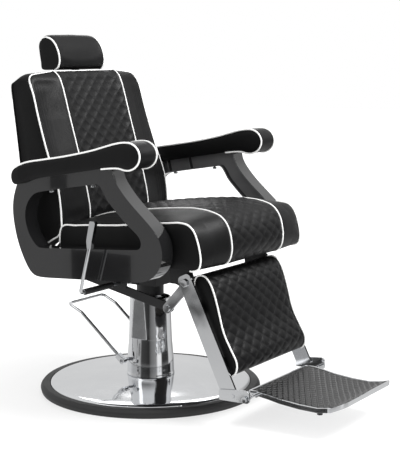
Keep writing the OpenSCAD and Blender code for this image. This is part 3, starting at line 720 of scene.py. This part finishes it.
# Side views from the rear bottom, forwards below, up the front, over the top and down the rear. Millimetres.
BACK_OUTER = [
    (222, 434), (207, 418), (186, 414), (166, 428), (143, 442), (124, 453), (113, 474), (112.8, 500),
    (115, 535), (123.5, 585), (156.5, 670), (190, 770), (212, 848), (220, 866), (231, 877), (247, 880),
    (264, 872), (275, 853), (274, 800), (266, 741), (254, 645), (241, 540), (231, 455),
]
BACK_INNER = [
    (222, 444), (213.5, 447), (213, 476), (170, 476), (130, 476), (112, 480), (106, 494), (105, 508),
    (107, 530), (118, 580), (143, 669), (173, 770), (197, 850), (208, 872), (229, 887), (248, 884),
    (266, 871), (277, 849), (275.5, 800), (266.5, 741), (254.5, 645), (241.5, 540), (231, 457),
]
BACK_SEAM = 134
BACK_EDGE = 243
# Where the rows round the top end at the edge, and the radius they turn down with
BACK_TOP_CORNER = [(206, 827), (210.5, 839), (216, 850), (238, 863), (260, 863), (277, 855)]
BACK_CORNER = 28
BACK_TOP_ROW = 14
BACK_REAR_ROW = 17


def back_section(x):
    inner, outer = np.array(BACK_INNER, float), np.array(BACK_OUTER, float)
    a = abs(x)
    share = np.clip((a - BACK_SEAM) / (BACK_EDGE - BACK_SEAM), 0, 1)
    p = inner + (outer - inner) * share
    p[:6] = inner[:6] if a <= 197 else outer[:6]
    p[7:12, 0] -= 3.5 * (1 - (min(a, BACK_SEAM) / BACK_SEAM) ** 2)
    over = np.clip((a - (BACK_EDGE - BACK_CORNER)) / BACK_CORNER, 0, 1)
    p[12:18] += (1 - math.sqrt(1 - over**2)) * (np.array(BACK_TOP_CORNER, float) - p[12:18])
    return p


def narrow_top(grid):
    """The back is a little narrower at its top than above the seat."""
    x, y, z = np.moveaxis(grid, 2, 0) / MM
    edge = BACK_EDGE - 4 * ramp(np.maximum(z - 620, 0), 220) * np.clip((255 - y) / 40, 0, 1)
    over = np.clip(np.abs(x) - BACK_SEAM, 0, None) * (edge - BACK_SEAM) / (BACK_EDGE - BACK_SEAM)
    grid[..., 0] = np.sign(x) * (np.minimum(np.abs(x), BACK_SEAM) + over) * MM
    return grid


def back_form():
    # Columns close together where the top turns down
    tight = tuple(BACK_EDGE - d for d in (1.0, 3.5, 8.0, 14.0, 22.0, 31.0, 40.0))
    xs = columns(BACK_SEAM, BACK_EDGE, 9.6, (196.0, 198.0) + tight)
    form = Form(narrow_top(loops(xs, back_section, BACK_COUNTS, (0, 1, 2, 4))), 8, 6 * MM)
    starts = running(BACK_COUNTS)
    free = freedom(form, xs, BACK_EDGE, 12, BACK_SEAM)
    rows = np.arange(form.grid.shape[1])
    for k in (BACK_TOP_ROW, BACK_REAR_ROW):
        free *= ramp(rows - starts[k], 3)[None]
    free[:, : starts[6]] = 0
    rear = rows > starts[BACK_REAR_ROW]
    pinned = ramp(np.abs(xs) - BACK_EDGE, 40)[:, None] * ramp(rows[rear] - starts[BACK_REAR_ROW], 8)[None]
    free[:, rear] = pinned * ramp(rows[rear] - free.shape[1], 8)[None]
    cap = np.where(np.abs(xs)[:, None] < BACK_SEAM, 6 * MM, 10 * MM) * np.ones_like(free)
    cap[:, rear] = 4 * MM
    return form, free, cap, xs, starts


def build_back(form, xs, starts):
    form.refine(FINE, FINE)
    inner = seam_columns(xs, BACK_SEAM)
    low, bottom, top, rear = (starts[k] * FINE for k in (3, 5, BACK_TOP_ROW, BACK_REAR_ROW))
    seams = [(c, bottom, top) for c in inner]
    cushion("back_cushion_cover", form, "back", "back_cushion", (*inner, bottom, top), seams)
    pipings(form, "back", dict(zip(("back_piping_2", "back_piping_3"), inner)), bottom, top)
    last = form.grid.shape[0] - 1

    def over(row, end):
        """Up one edge from end to row, across, and down the other edge."""
        return column_steps(0, end, row) + [(i, row) for i in range(1, last)] + column_steps(last, row, end)

    piping("back_piping_edge", form, over(top, low), "back")
    welt = over(rear, form.grid.shape[1] - 3)
    tube("back_rear_welt", seam_path(form, welt, 0.6 * MM), 2.4 * MM, "back", "leather", 10)


# ---- headrest

# Side view from the front bottom up, over the top and down the rear. Millimetres.
HEAD_PROFILE = [
    (262, 889.5), (246, 890), (235.5, 900), (231.5, 918), (237, 944), (248, 965), (262, 979), (280, 984.5),
    (297, 979), (306.5, 963), (305.5, 940), (301, 912), (298, 893), (290, 889.5),
]
HEAD_COUNTS = [3, 2, 3, 4, 3, 3, 3, 3, 3, 4, 4, 3, 2, 4]
HEAD_EDGE = 98


def head_section(x):
    p = np.array(HEAD_PROFILE, float)
    corner, fall = 14, 5
    over = np.clip((abs(x) - (HEAD_EDGE - corner)) / corner, 0, 1)
    drop = fall * (1 - math.sqrt(max(0.0, 1 - over**2)))
    share = np.array([0, 0, 0, 0.1, 0.25, 0.5, 0.85, 1, 0.95, 0.7, 0.3, 0, 0, 0])
    p[:, 1] += (3.0 * (1 - (x / HEAD_EDGE) ** 2) - drop) * share
    return p


def head_form():
    xs = columns(60, HEAD_EDGE, 8, (HEAD_EDGE - 1.0, HEAD_EDGE - 3.5, HEAD_EDGE - 8.0))
    form = Form(loops(xs, head_section, HEAD_COUNTS, ()), 6, 4 * MM)
    starts = running(HEAD_COUNTS)
    free = freedom(form, xs, HEAD_EDGE, 10)
    free[:, starts[12] :] = 0
    free[:, : starts[2]] = 0
    cap = np.full_like(free, 2.5 * MM)
    return form, free, cap, starts


def build_head(form, starts):
    form.refine(2, FINE)
    cushion("headrest_cover", form, "headrest", "headrest_cushion")
    edges = {"headrest_piping_left": 0, "headrest_piping_right": form.grid.shape[0] - 1}
    pipings(form, "headrest", edges, starts[1] * FINE - 2, starts[8] * FINE + 2)


# ---- arm pads

ARM_PAD_PROFILE = [
    (-122, 655.5), (-142, 656), (-161, 652.5), (-177, 653.5), (-194, 662), (-204, 676), (-205.5, 692),
    (-197, 708), (-181.5, 717.5), (-162, 719.5), (-131, 715), (-99.5, 706.5), (-60, 695.5), (-11, 684.5),
    (46, 673.5), (105, 664), (166, 653), (201, 638.5), (212.5, 627), (215, 613), (211, 600), (202, 595),
    (184, 598), (166, 605), (140, 612.5), (60, 626.5), (-18, 640), (-87, 651.5),
]
ARM_PAD_XS = [-35, -34, -31, -26, -20, -13, -6.5, 0, 6.5, 13, 20, 26, 31, 34, 35]
ARM_PAD_X = 290


def pad_form():
    outline = evenly(smooth_line(ARM_PAD_PROFILE, [8] * len(ARM_PAD_PROFILE)), 132)
    outline = np.roll(outline, -int(np.argmax(outline[:, 0])), axis=0)
    area = np.sum(outline[:, 0] * np.roll(outline[:, 1], -1) - np.roll(outline[:, 0], -1) * outline[:, 1])
    if area < 0:
        outline = np.roll(outline[::-1], 1, axis=0)
    xs = np.array(ARM_PAD_XS, float)
    form = Form(np.array([[(x, p[0], p[1]) for p in outline] for x in xs]) * MM, 6, 4 * MM)
    upper = outline[:, 1] > np.interp(outline[:, 0], [-200, 220], [690, 618])
    free = freedom(form, xs, ARM_PAD_XS[-1], 9)
    free[:, ~upper & (outline[:, 0] > -150)] = 0
    cap = np.full_like(free, 5 * MM)
    return form, free, cap, outline


def build_pad(form, outline, side, name):
    """side is -1 for the left pad."""
    moved = copy.deepcopy(form).refine(3, FINE)
    for a in [moved.grid] + moved.sides:
        a[..., 0] += side * ARM_PAD_X * MM
    cushion(name + "_arm_pad_cover", moved, "seat", name + "_arm_pad")
    # The cords run from the rear of the top to a point on the underside
    rear = int(np.argmin(np.abs(outline[:, 0] - 199) + 400 * (outline[:, 1] < 630)))
    under = int(np.argmin(np.abs(outline[:, 0] + 84) + 400 * (outline[:, 1] > 670)))
    edges = {f"{name}_arm_piping_1": 0, f"{name}_arm_piping_2": moved.grid.shape[0] - 1}
    pipings(moved, "seat", edges, rear * FINE, under * FINE)


# ---- calf pad

LEGREST_PIVOT = np.array([-251.0, 358.0])
BAR_TILT = math.radians(26.5)
# Side view in the leg rest's own frame, in millimetres: up the front, over the top and down the board.
CALF_PROFILE = [
    (-12, -262), (-24, -262), (-36, -252), (-43, -236), (-42, -205), (-40, -170), (-42, -142), (-47, -117),
    (-54, -80), (-58, -50), (-58, -27), (-53, -9), (-44, 0), (-31, 3), (-20, -3), (-12.3, -16),
]
CALF_COUNTS = [2, 2, 3, 4, 5, 4, 4, 5, 4, 4, 3, 3, 3, 3, 3, 30]
CALF_EDGE = 176.5


def calf_form():
    profile = np.array(CALF_PROFILE[::-1], float)
    counts = CALF_COUNTS[-2::-1] + CALF_COUNTS[-1:]
    xs = columns(60, CALF_EDGE, 9, (CALF_EDGE - 1.5, CALF_EDGE - 5.0))

    def section(x):
        p = profile.copy()
        p[3:13, 0] -= 3.0 * (1 - (x / CALF_EDGE) ** 2)
        c, s = math.cos(BAR_TILT), math.sin(BAR_TILT)
        y = p[:, 0] * c + p[:, 1] * s
        z = -p[:, 0] * s + p[:, 1] * c
        return np.stack([y, z], 1) + LEGREST_PIVOT

    form = Form(loops(xs, section, counts, (0, len(profile) - 1)), 6, 2 * MM)
    starts = running(counts)
    free = freedom(form, xs, CALF_EDGE, 12)
    free[:, starts[15] :] = 0
    free[:, :2] = 0
    cap = np.full_like(free, 3.5 * MM)
    return form, free, cap, starts


def build_calf(form, starts):
    form.refine(3, FINE)
    last = form.grid.shape[0] - 1
    high = starts[14] * FINE
    quilt = (0, last, starts[1] * FINE, high)
    pieces = [cushion("calf_pad_cover", form, "legrest", "calf_pad", quilt, quilt_depth=2.6 * MM)]
    pieces += pipings(form, "legrest", {"calf_piping_left": 0, "calf_piping_right": last}, 2, high + 3)
    # The lifted leg rest presses its pad against the seat
    for piece in pieces:
        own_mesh(piece)


def soft_goods():
    seat, back, head, pad, calf = seat_form(), back_form(), head_form(), pad_form(), calf_form()
    swell([f[:3] for f in (seat, back, head, pad, calf)])
    build_seat(seat[0], *seat[3:])
    build_back(back[0], *back[3:])
    build_head(head[0], head[3])
    build_pad(pad[0], pad[3], -1, "left")
    build_pad(pad[0], pad[3], 1, "right")
    build_calf(calf[0], calf[3])


# ---- rigid parts

# Arm frames and the direction along X in which they are open
INWARD = {"left_arm_frame": 1, "right_arm_frame": -1}


def polished(node, width):
    """The CAD node's own shape with its hard edges rounded over."""
    mesh = frame["nodes"][node].data.copy()
    bm = bmesh.new()
    bm.from_mesh(mesh)
    bmesh.ops.remove_doubles(bm, verts=bm.verts, dist=1e-6)
    bmesh.ops.dissolve_limit(bm, angle_limit=math.radians(0.3), verts=bm.verts, edges=bm.edges)
    bm.to_mesh(mesh)
    bm.free()
    if mesh.attributes.get("custom_normal"):
        mesh.attributes.remove(mesh.attributes["custom_normal"])
    mesh.materials.clear()
    mesh.materials.append(MATERIALS[SLOT_OF[node]])
    # Faces turned into an arm frame take the lighter grey, a painted reflection of the room
    if node in INWARD:
        mesh.materials.append(MATERIALS["inner"])
        for poly in mesh.polygons:
            poly.material_index = int(poly.normal.x * INWARD[node] > 0.7)
    obj = in_scene(node + "_shape", mesh)
    edge = put(obj.modifiers.new("edge", "BEVEL"), width=width, segments=2, limit_method="ANGLE")
    put(edge, angle_limit=math.radians(35), use_clamp_overlap=True, miter_outer="MITER_ARC")
    graph = bpy.context.evaluated_depsgraph_get()
    done = bpy.data.meshes.new_from_object(obj.evaluated_get(graph))
    obj.modifiers.clear()
    obj.data = done
    done.polygons.foreach_set("use_smooth", [True] * len(done.polygons))
    done.set_sharp_from_angle(angle=math.radians(48))
    put(obj.modifiers.new("weighted", "WEIGHTED_NORMAL"), keep_sharp=True)
    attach(obj, BODY_OF[node])
    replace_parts(obj, node)
    return obj


def bend(points, radius, steps=10):
    """Line through the points with an arc of the given radius at each inner point."""
    p = [Vector(q) for q in points]
    out = [p[0]]
    for a, b, c in zip(p, p[1:], p[2:]):
        u, w = (b - a).normalized(), (c - b).normalized()
        turn = u.angle(w)
        start = b - u * radius * math.tan(turn / 2)
        inward = (w - u * u.dot(w)).normalized()
        for t in (turn * k / steps for k in range(steps + 1)):
            out.append(start + radius * (u * math.sin(t) + inward * (1 - math.cos(t))))
    out.append(p[-1])
    return [tuple(q) for q in out]


PEDAL_AXIS = Vector((0, 0.038, 0.088))
ROD_R = 4.5 * MM


def pedal_rod():
    far = [Vector((0, 0.231, 0.229)), Vector((0, 0.184, 0.208))]
    foot = PEDAL_AXIS + (far[1] - PEDAL_AXIS).normalized() * 0.022
    half = 0.079
    left = [q + Vector((-half, 0, 0)) for q in (foot, far[1], far[0])]
    right = [q + Vector((half, 0, 0)) for q in (far[0], far[1], foot)]
    obj = tube("pedal_rod", bend(left + right, 0.014), ROD_R, "pedal", "chrome", 20)
    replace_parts(obj, "pedal_loop")


def lever_rod():
    points = [(-0.33, -0.03, 0.332), (-0.345, -0.03, 0.332), (-0.347, -0.066, 0.462)]
    obj = tube("lever_rod", bend(points, 0.009), ROD_R, "lever", "chrome", 20)
    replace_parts(obj, "recline_lever")


def lathe(name, profile, sides, body, slot, node, shape=None):
    """Turned part from (radius, z) points in millimetres, closed at both ends of the profile."""
    verts, faces = [], []
    n = len(profile)
    for k in range(sides):
        t = 2 * math.pi * k / sides
        ring = [(r * math.cos(t), r * math.sin(t), z) for r, z in profile]
        verts += [shape(j, *v) for j, v in enumerate(ring)] if shape else ring
    verts = np.array(verts) * MM
    for k in range(sides):
        a, b = k * n, (k + 1) % sides * n
        faces += [(a + j, b + j, b + (j + 1) % n, a + (j + 1) % n) for j in range(n)]
    obj = new_piece(name, verts, faces, body, slot)
    obj.data.set_sharp_from_angle(angle=math.radians(40))
    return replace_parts(obj, node)


def dome():
    """One smooth mirror dome with a rolled rim."""
    anchors = [(282, 13), (282, 22), (279.5, 25.2), (272, 27.5), (222, 32), (142, 39), (90, 41.7), (61, 42)]
    top = smooth_line(anchors, [2, 5, 4, 6, 10, 10, 5], closed=False)
    under = [(61, 40), (90, 39.7), (142, 37), (222, 30), (272, 25.5), (279, 22), (279.8, 13)]
    lathe("base_dome_shape", [tuple(p) for p in top] + under, 192, "base", "chrome", "base_dome")


def shroud():
    """Tapered tube with a flat pressed into each side above a step."""
    anchors = [(66, 42), (65.3, 80), (64.2, 100), (61, 140), (59.2, 190), (57, 262)]
    outer = smooth_line(anchors, [4, 4, 8, 8, 10], closed=False)
    outer = [(66.5, 42.2), (67.2, 43), (67.2, 47), (66.4, 48.5)] + [tuple(p) for p in outer if p[1] > 50]
    rim = [(56.4, 262.6), (55, 262.6), (54.5, 262)]
    wall, flat_low, flat_x, flat_half = 2.5, 150.0, 54.2, 40
    inner = [(r - wall, z) for r, z in reversed(outer[4:])] + [(63.5, 42.2)]
    at = next(k for k, p in enumerate(outer) if p[1] > flat_low)
    step = outer[at - 1][0] + (outer[at][0] - outer[at - 1][0]) * 0.4
    profile = outer[:at] + [(step, flat_low), (step, flat_low + 0.1)] + outer[at:] + rim + inner
    inside = len(profile) - len(inner)

    def press(j, x, y, z):
        if z > flat_low and abs(y) < flat_half:
            x = math.copysign(min(abs(x), flat_x - (wall if j >= inside else 0)), x)
        return x, y, z

    lathe("column_shroud_shape", profile, 192, "base", "chrome", "column_shroud", press)


def pump_spring():
    """The plunger presses it against the floor of the pump as the pedal goes down."""
    mesh = frame["nodes"]["plunger_spring"].data
    faces = [tuple(p.vertices) for p in mesh.polygons]
    verts = [tuple(v.co) for v in mesh.vertices]
    obj = new_piece("plunger_coil", verts, faces, BODY_OF["plunger_spring"], "steel")
    obj.data.set_sharp_from_angle(angle=math.radians(50))
    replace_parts(obj, "plunger_spring")
    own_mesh(obj)


def foot_height(y):
    """Height of the tray's upper surface at y, millimetres."""
    curve = [(-680, 95), (-648, 82), (-610, 76), (-560, 77), (-505, 82), (-470, 88), (-440, 92), (-414, 91)]
    return np.interp(y, *zip(*curve))


def foot_mat():
    """Rubber mat with crossed ribs in diamonds, inside the tray's rim."""
    half, rear, front, corner = 143.5, -420.5, -673.5, 33.0
    diamond_w, diamond_h, rib_gap, rib_height, rib_width, thickness = 28, 16.5, 14.2, 1.6, 2.0, 3.7
    nx, ny = 208, 184
    xs = np.linspace(-half, half, nx)
    ys = np.linspace(rear, front, ny)
    top = np.zeros((ny, nx, 3))
    for j, y in enumerate(ys):
        over = np.clip((front + corner - y) / corner, 0, 1)
        edge = half - corner * (1 - math.sqrt(max(0.0, 1 - over**2)))
        x = xs * edge / half
        a, b = x / diamond_w + y / diamond_h, x / diamond_w - y / diamond_h
        line = np.minimum(np.abs(a - np.round(a)), np.abs(b - np.round(b))) * rib_gap
        rib = rib_height * np.exp(-((line / rib_width) ** 2))
        inset = np.minimum(ramp(edge - np.abs(x), 5), ramp(min(rear - y, y - front), 5))
        top[j] = np.stack([x, np.full(nx, y), foot_height(y) - 0.6 - 1.2 * (1 - inset) + rib * inset], 1)
    low = top.copy()
    low[..., 2] = np.array([foot_height(y) for y in ys])[:, None] - thickness
    count = nx * ny
    verts = np.concatenate([top.reshape(-1, 3), low.reshape(-1, 3)]) * MM
    starts = [j * nx + i for j in range(ny - 1) for i in range(nx - 1)]
    faces = [(v, v + nx, v + nx + 1, v + 1) for v in starts]
    faces += [tuple(count + v for v in reversed(f)) for f in faces]
    rim = list(range(nx)) + list(range(2 * nx - 1, count, nx))
    rim += list(range(count - 2, count - nx - 1, -1)) + list(range(count - 2 * nx, 0, -nx))
    faces += [(a, b, b + count, a + count) for a, b in zip(rim, rim[1:] + rim[:1])]
    obj = new_piece("foot_mat_ribbed", verts, faces, "footplate", "rubber", ["mat"])
    obj.data.set_sharp_from_angle(angle=math.radians(60))
    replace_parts(obj, "footplate_mat")


# How wide each rigid node's edges are rounded, millimetres
BEVELS = {
    "left_arm_frame": 1.6, "right_arm_frame": 1.6, "arm_brackets": 1.0, "hinge_brackets": 0.7,
    "legrest_hangers": 0.7, "seat_plate": 1.0, "swivel_hub": 4.0, "seat_frame": 1.2, "back_brackets": 0.6,
    "recline_link": 0.8, "legrest_bars": 1.4, "legrest_crank": 0.6, "legrest_straps": 0.6,
    "foot_brackets": 0.9, "footplate": 1.2, "pedal_clamps": 0.8, "lever_grip": 1.4, "headrest_post": 0.6,
    "lock_clamps": 0.6, "lever_bearings": 0.7, "gland_nut": 0.8, "frame_bolts": 0.4, "base_bolts": 0.6,
    "legrest_pivot_bolts": 0.9, "footplate_rod": 0.6, "arm_pad_screws": 0.8, "shroud_screws": 0.9,
    "lever_sleeve": 0.8, "footplate_feet": 1.2, "base_ring": 0.8, "piston_rod": 0.6, "seat_board": 0.8,
    "back_pins": 0.8, "lock_cylinder": 0.6,
}


def rigid_parts():
    for node, width in BEVELS.items():
        polished(node, width * MM)
    pedal_rod()
    lever_rod()
    dome()
    shroud()
    pump_spring()
    foot_mat()
    for node, obj in frame["nodes"].items():
        obj.data.materials.clear()
        obj.data.materials.append(MATERIALS[SLOT_OF[node]])


# ---- studio


def board(name, corners, material):
    """A flat board of the studio."""
    mesh = bpy.data.meshes.new(name)
    mesh.from_pydata(corners, [], [(0, 1, 2, 3)])
    mesh.materials.append(material)
    return in_scene(name, mesh)


def flag(name, centre, length, height, tones=(0.008, 0.012)):
    """A dark board along Y that only reflections see, mottled between two greys."""
    m, tree, shader = new_material("flag_black", (0.01, 0.01, 0.01), 0.9, Specular_IOR_Level=0.0)
    mottle = calc(tree, "SUBTRACT", noise(tree, 22.0), 0.35)
    patches = calc(tree, "MULTIPLY", mottle, 3.0)
    tree.links.new(two_tone(tree, patches, *((t, t, t) for t in tones)), shader.inputs["Emission Color"])
    shader.inputs["Emission Strength"].default_value = 1.0
    y, z = length / 2, height / 2
    obj = board(name, [(0, -y, -z), (0, y, -z), (0, y, z), (0, -y, z)], m)
    put(obj, location=centre, visible_camera=False, visible_diffuse=False, visible_shadow=False)


def area_light(name, place, target, size, power):
    wide, high = size
    data = put(bpy.data.lights.new(name, "AREA"), shape="RECTANGLE", size=wide, size_y=high, energy=power)
    turn = (Vector(target) - Vector(place)).to_track_quat("-Z", "Y").to_euler()
    put(in_scene(name, data), location=place, rotation_euler=turn)


# Directions on the floor that the room's angles are measured from
ROOM_SIDE = (0.5533, -0.833, 0)
ROOM_FRONT = (-0.833, -0.5533, 0)
# Brightness of the room in reflections, by degrees from its front
ROOM = [
    (-180, 0.72), (-118, 0.75), (-96, 0.5), (-52, 0.42), (-44, 0.06), (-6, 0.03), (4, 0.16), (30, 0.3),
    (38, 0.95), (54, 0.95), (61, 0.04), (98, 0.04), (106, 0.7), (132, 0.6), (144, 0.32), (162, 0.34),
    (171, 0.7), (180, 0.72),
]


def world():
    """White all round, with a room of light and dark walls in reflections."""
    w = bpy.data.worlds.new("studio")
    bpy.context.scene.world = w
    w.use_nodes = True
    tree = w.node_tree
    tree.nodes.clear()
    out = add(tree, "OutputWorld")
    seen = add(tree, "Background", {"Color": (1, 1, 1, 1), "Strength": 1.0})
    direction = add(tree, "TexCoord").outputs["Generated"]

    def along(unit):
        wanted = {0: direction, 1: unit}
        return add(tree, "VectorMath", wanted, operation="DOT_PRODUCT").outputs["Value"]

    turn = calc(tree, "ARCTAN2", along(ROOM_SIDE), along(ROOM_FRONT))
    share = calc(tree, "ADD", calc(tree, "DIVIDE", turn, 2 * math.pi), 0.5)
    room = add(tree, "ValToRGB", {"Fac": share})
    stops = room.color_ramp.elements
    for degrees, level in ROOM[1:-1]:
        stops.new(degrees / 360 + 0.5)
    for stop, (degrees, level) in zip(stops, ROOM):
        stop.position = degrees / 360 + 0.5
        stop.color = (level, level, level, 1)
    height = add(tree, "SeparateXYZ", {"Vector": direction}).outputs["Z"]

    def rising(start, stop):
        return spread(tree, height, 0.0, 1.0, start, stop, interpolation_type="SMOOTHSTEP")

    def blend(share, a, b):
        first = calc(tree, "MULTIPLY", calc(tree, "SUBTRACT", 1.0, share), a)
        return calc(tree, "ADD", first, calc(tree, "MULTIPLY", share, b))

    level = blend(rising(-0.34, -0.16), 0.72, room.outputs["Color"])
    level = blend(rising(0.3, 0.62), level, 0.8)
    mirrored = add(tree, "Background", {"Color": (1, 1, 1, 1), "Strength": level})
    glossy = add(tree, "LightPath").outputs["Is Glossy Ray"]
    mix = add(tree, "MixShader", {"Fac": glossy, 1: seen.outputs[0], 2: mirrored.outputs[0]})
    tree.links.new(mix.outputs[0], out.inputs["Surface"])


def floor():
    m, tree, shader = new_material("pale_floor", (0.34, 0.34, 0.34), 0.7, Specular_IOR_Level=0.2)
    speck = noise(tree, 3.0, 4.0)
    vary(tree, shader, speck, None, ((0.33, 0.33, 0.33), (0.36, 0.36, 0.36)))
    shader.inputs["Emission Color"].default_value = (1, 1, 1, 1)
    away = add(tree, "VectorMath", {0: rest_coords(tree)}, operation="LENGTH").outputs["Value"]
    tree.links.new(spread(tree, away, 0.62, 1.0, 0.4, 1.6), shader.inputs["Emission Strength"])
    reach = 14.0
    corners = [(-reach, -reach, 0), (reach, -reach, 0), (reach, reach, 0), (-reach, reach, 0)]
    obj = board("floor", corners, m)
    obj.visible_glossy = False


def camera():
    data = put(bpy.data.cameras.new("camera"), lens=96.83, sensor_width=36, clip_end=100)
    turn = (math.radians(90 - 8.4674), 0, math.radians(-56.4069))
    obj = put(in_scene("camera", data), location=(-2.73817, -1.98605, 0.95651), rotation_euler=turn)
    bpy.context.scene.camera = obj


def studio():
    world()
    floor()
    camera()
    area_light("key", (0.7, -1.9, 2.7), (0, -0.1, 0.5), (1.6, 1.2), 105)
    area_light("fill", (-2.6, 1.0, 1.9), (0, 0, 0.5), (1.0, 1.6), 5)
    area_light("rim", (2.1, 1.5, 1.75), (0, -0.2, 0.5), (1.3, 0.6), 6)
    flag("flag_rail", (-1.31, 0.72, 0.165), 0.27, 0.115)
    flag("flag_top_rail", (-1.31, 0.91, 0.465), 0.08, 0.055)
    flag("flag_bar", (-1.31, 0.54, 0.02), 0.26, 0.16, (0.02, 0.45))
    flag("flag_column", (-1.31, 0.93, -0.15), 0.13, 0.2, (0.13, 0.17))
    flag("flag_low", (1.3, -1.25, 0.4), 0.9, 0.72)
    flag("flag_tray", (-1.31, 0.1, -0.33), 0.32, 0.08)
    bpy.context.scene.view_settings.view_transform = "Standard"


soft_goods()
rigid_parts()
studio()
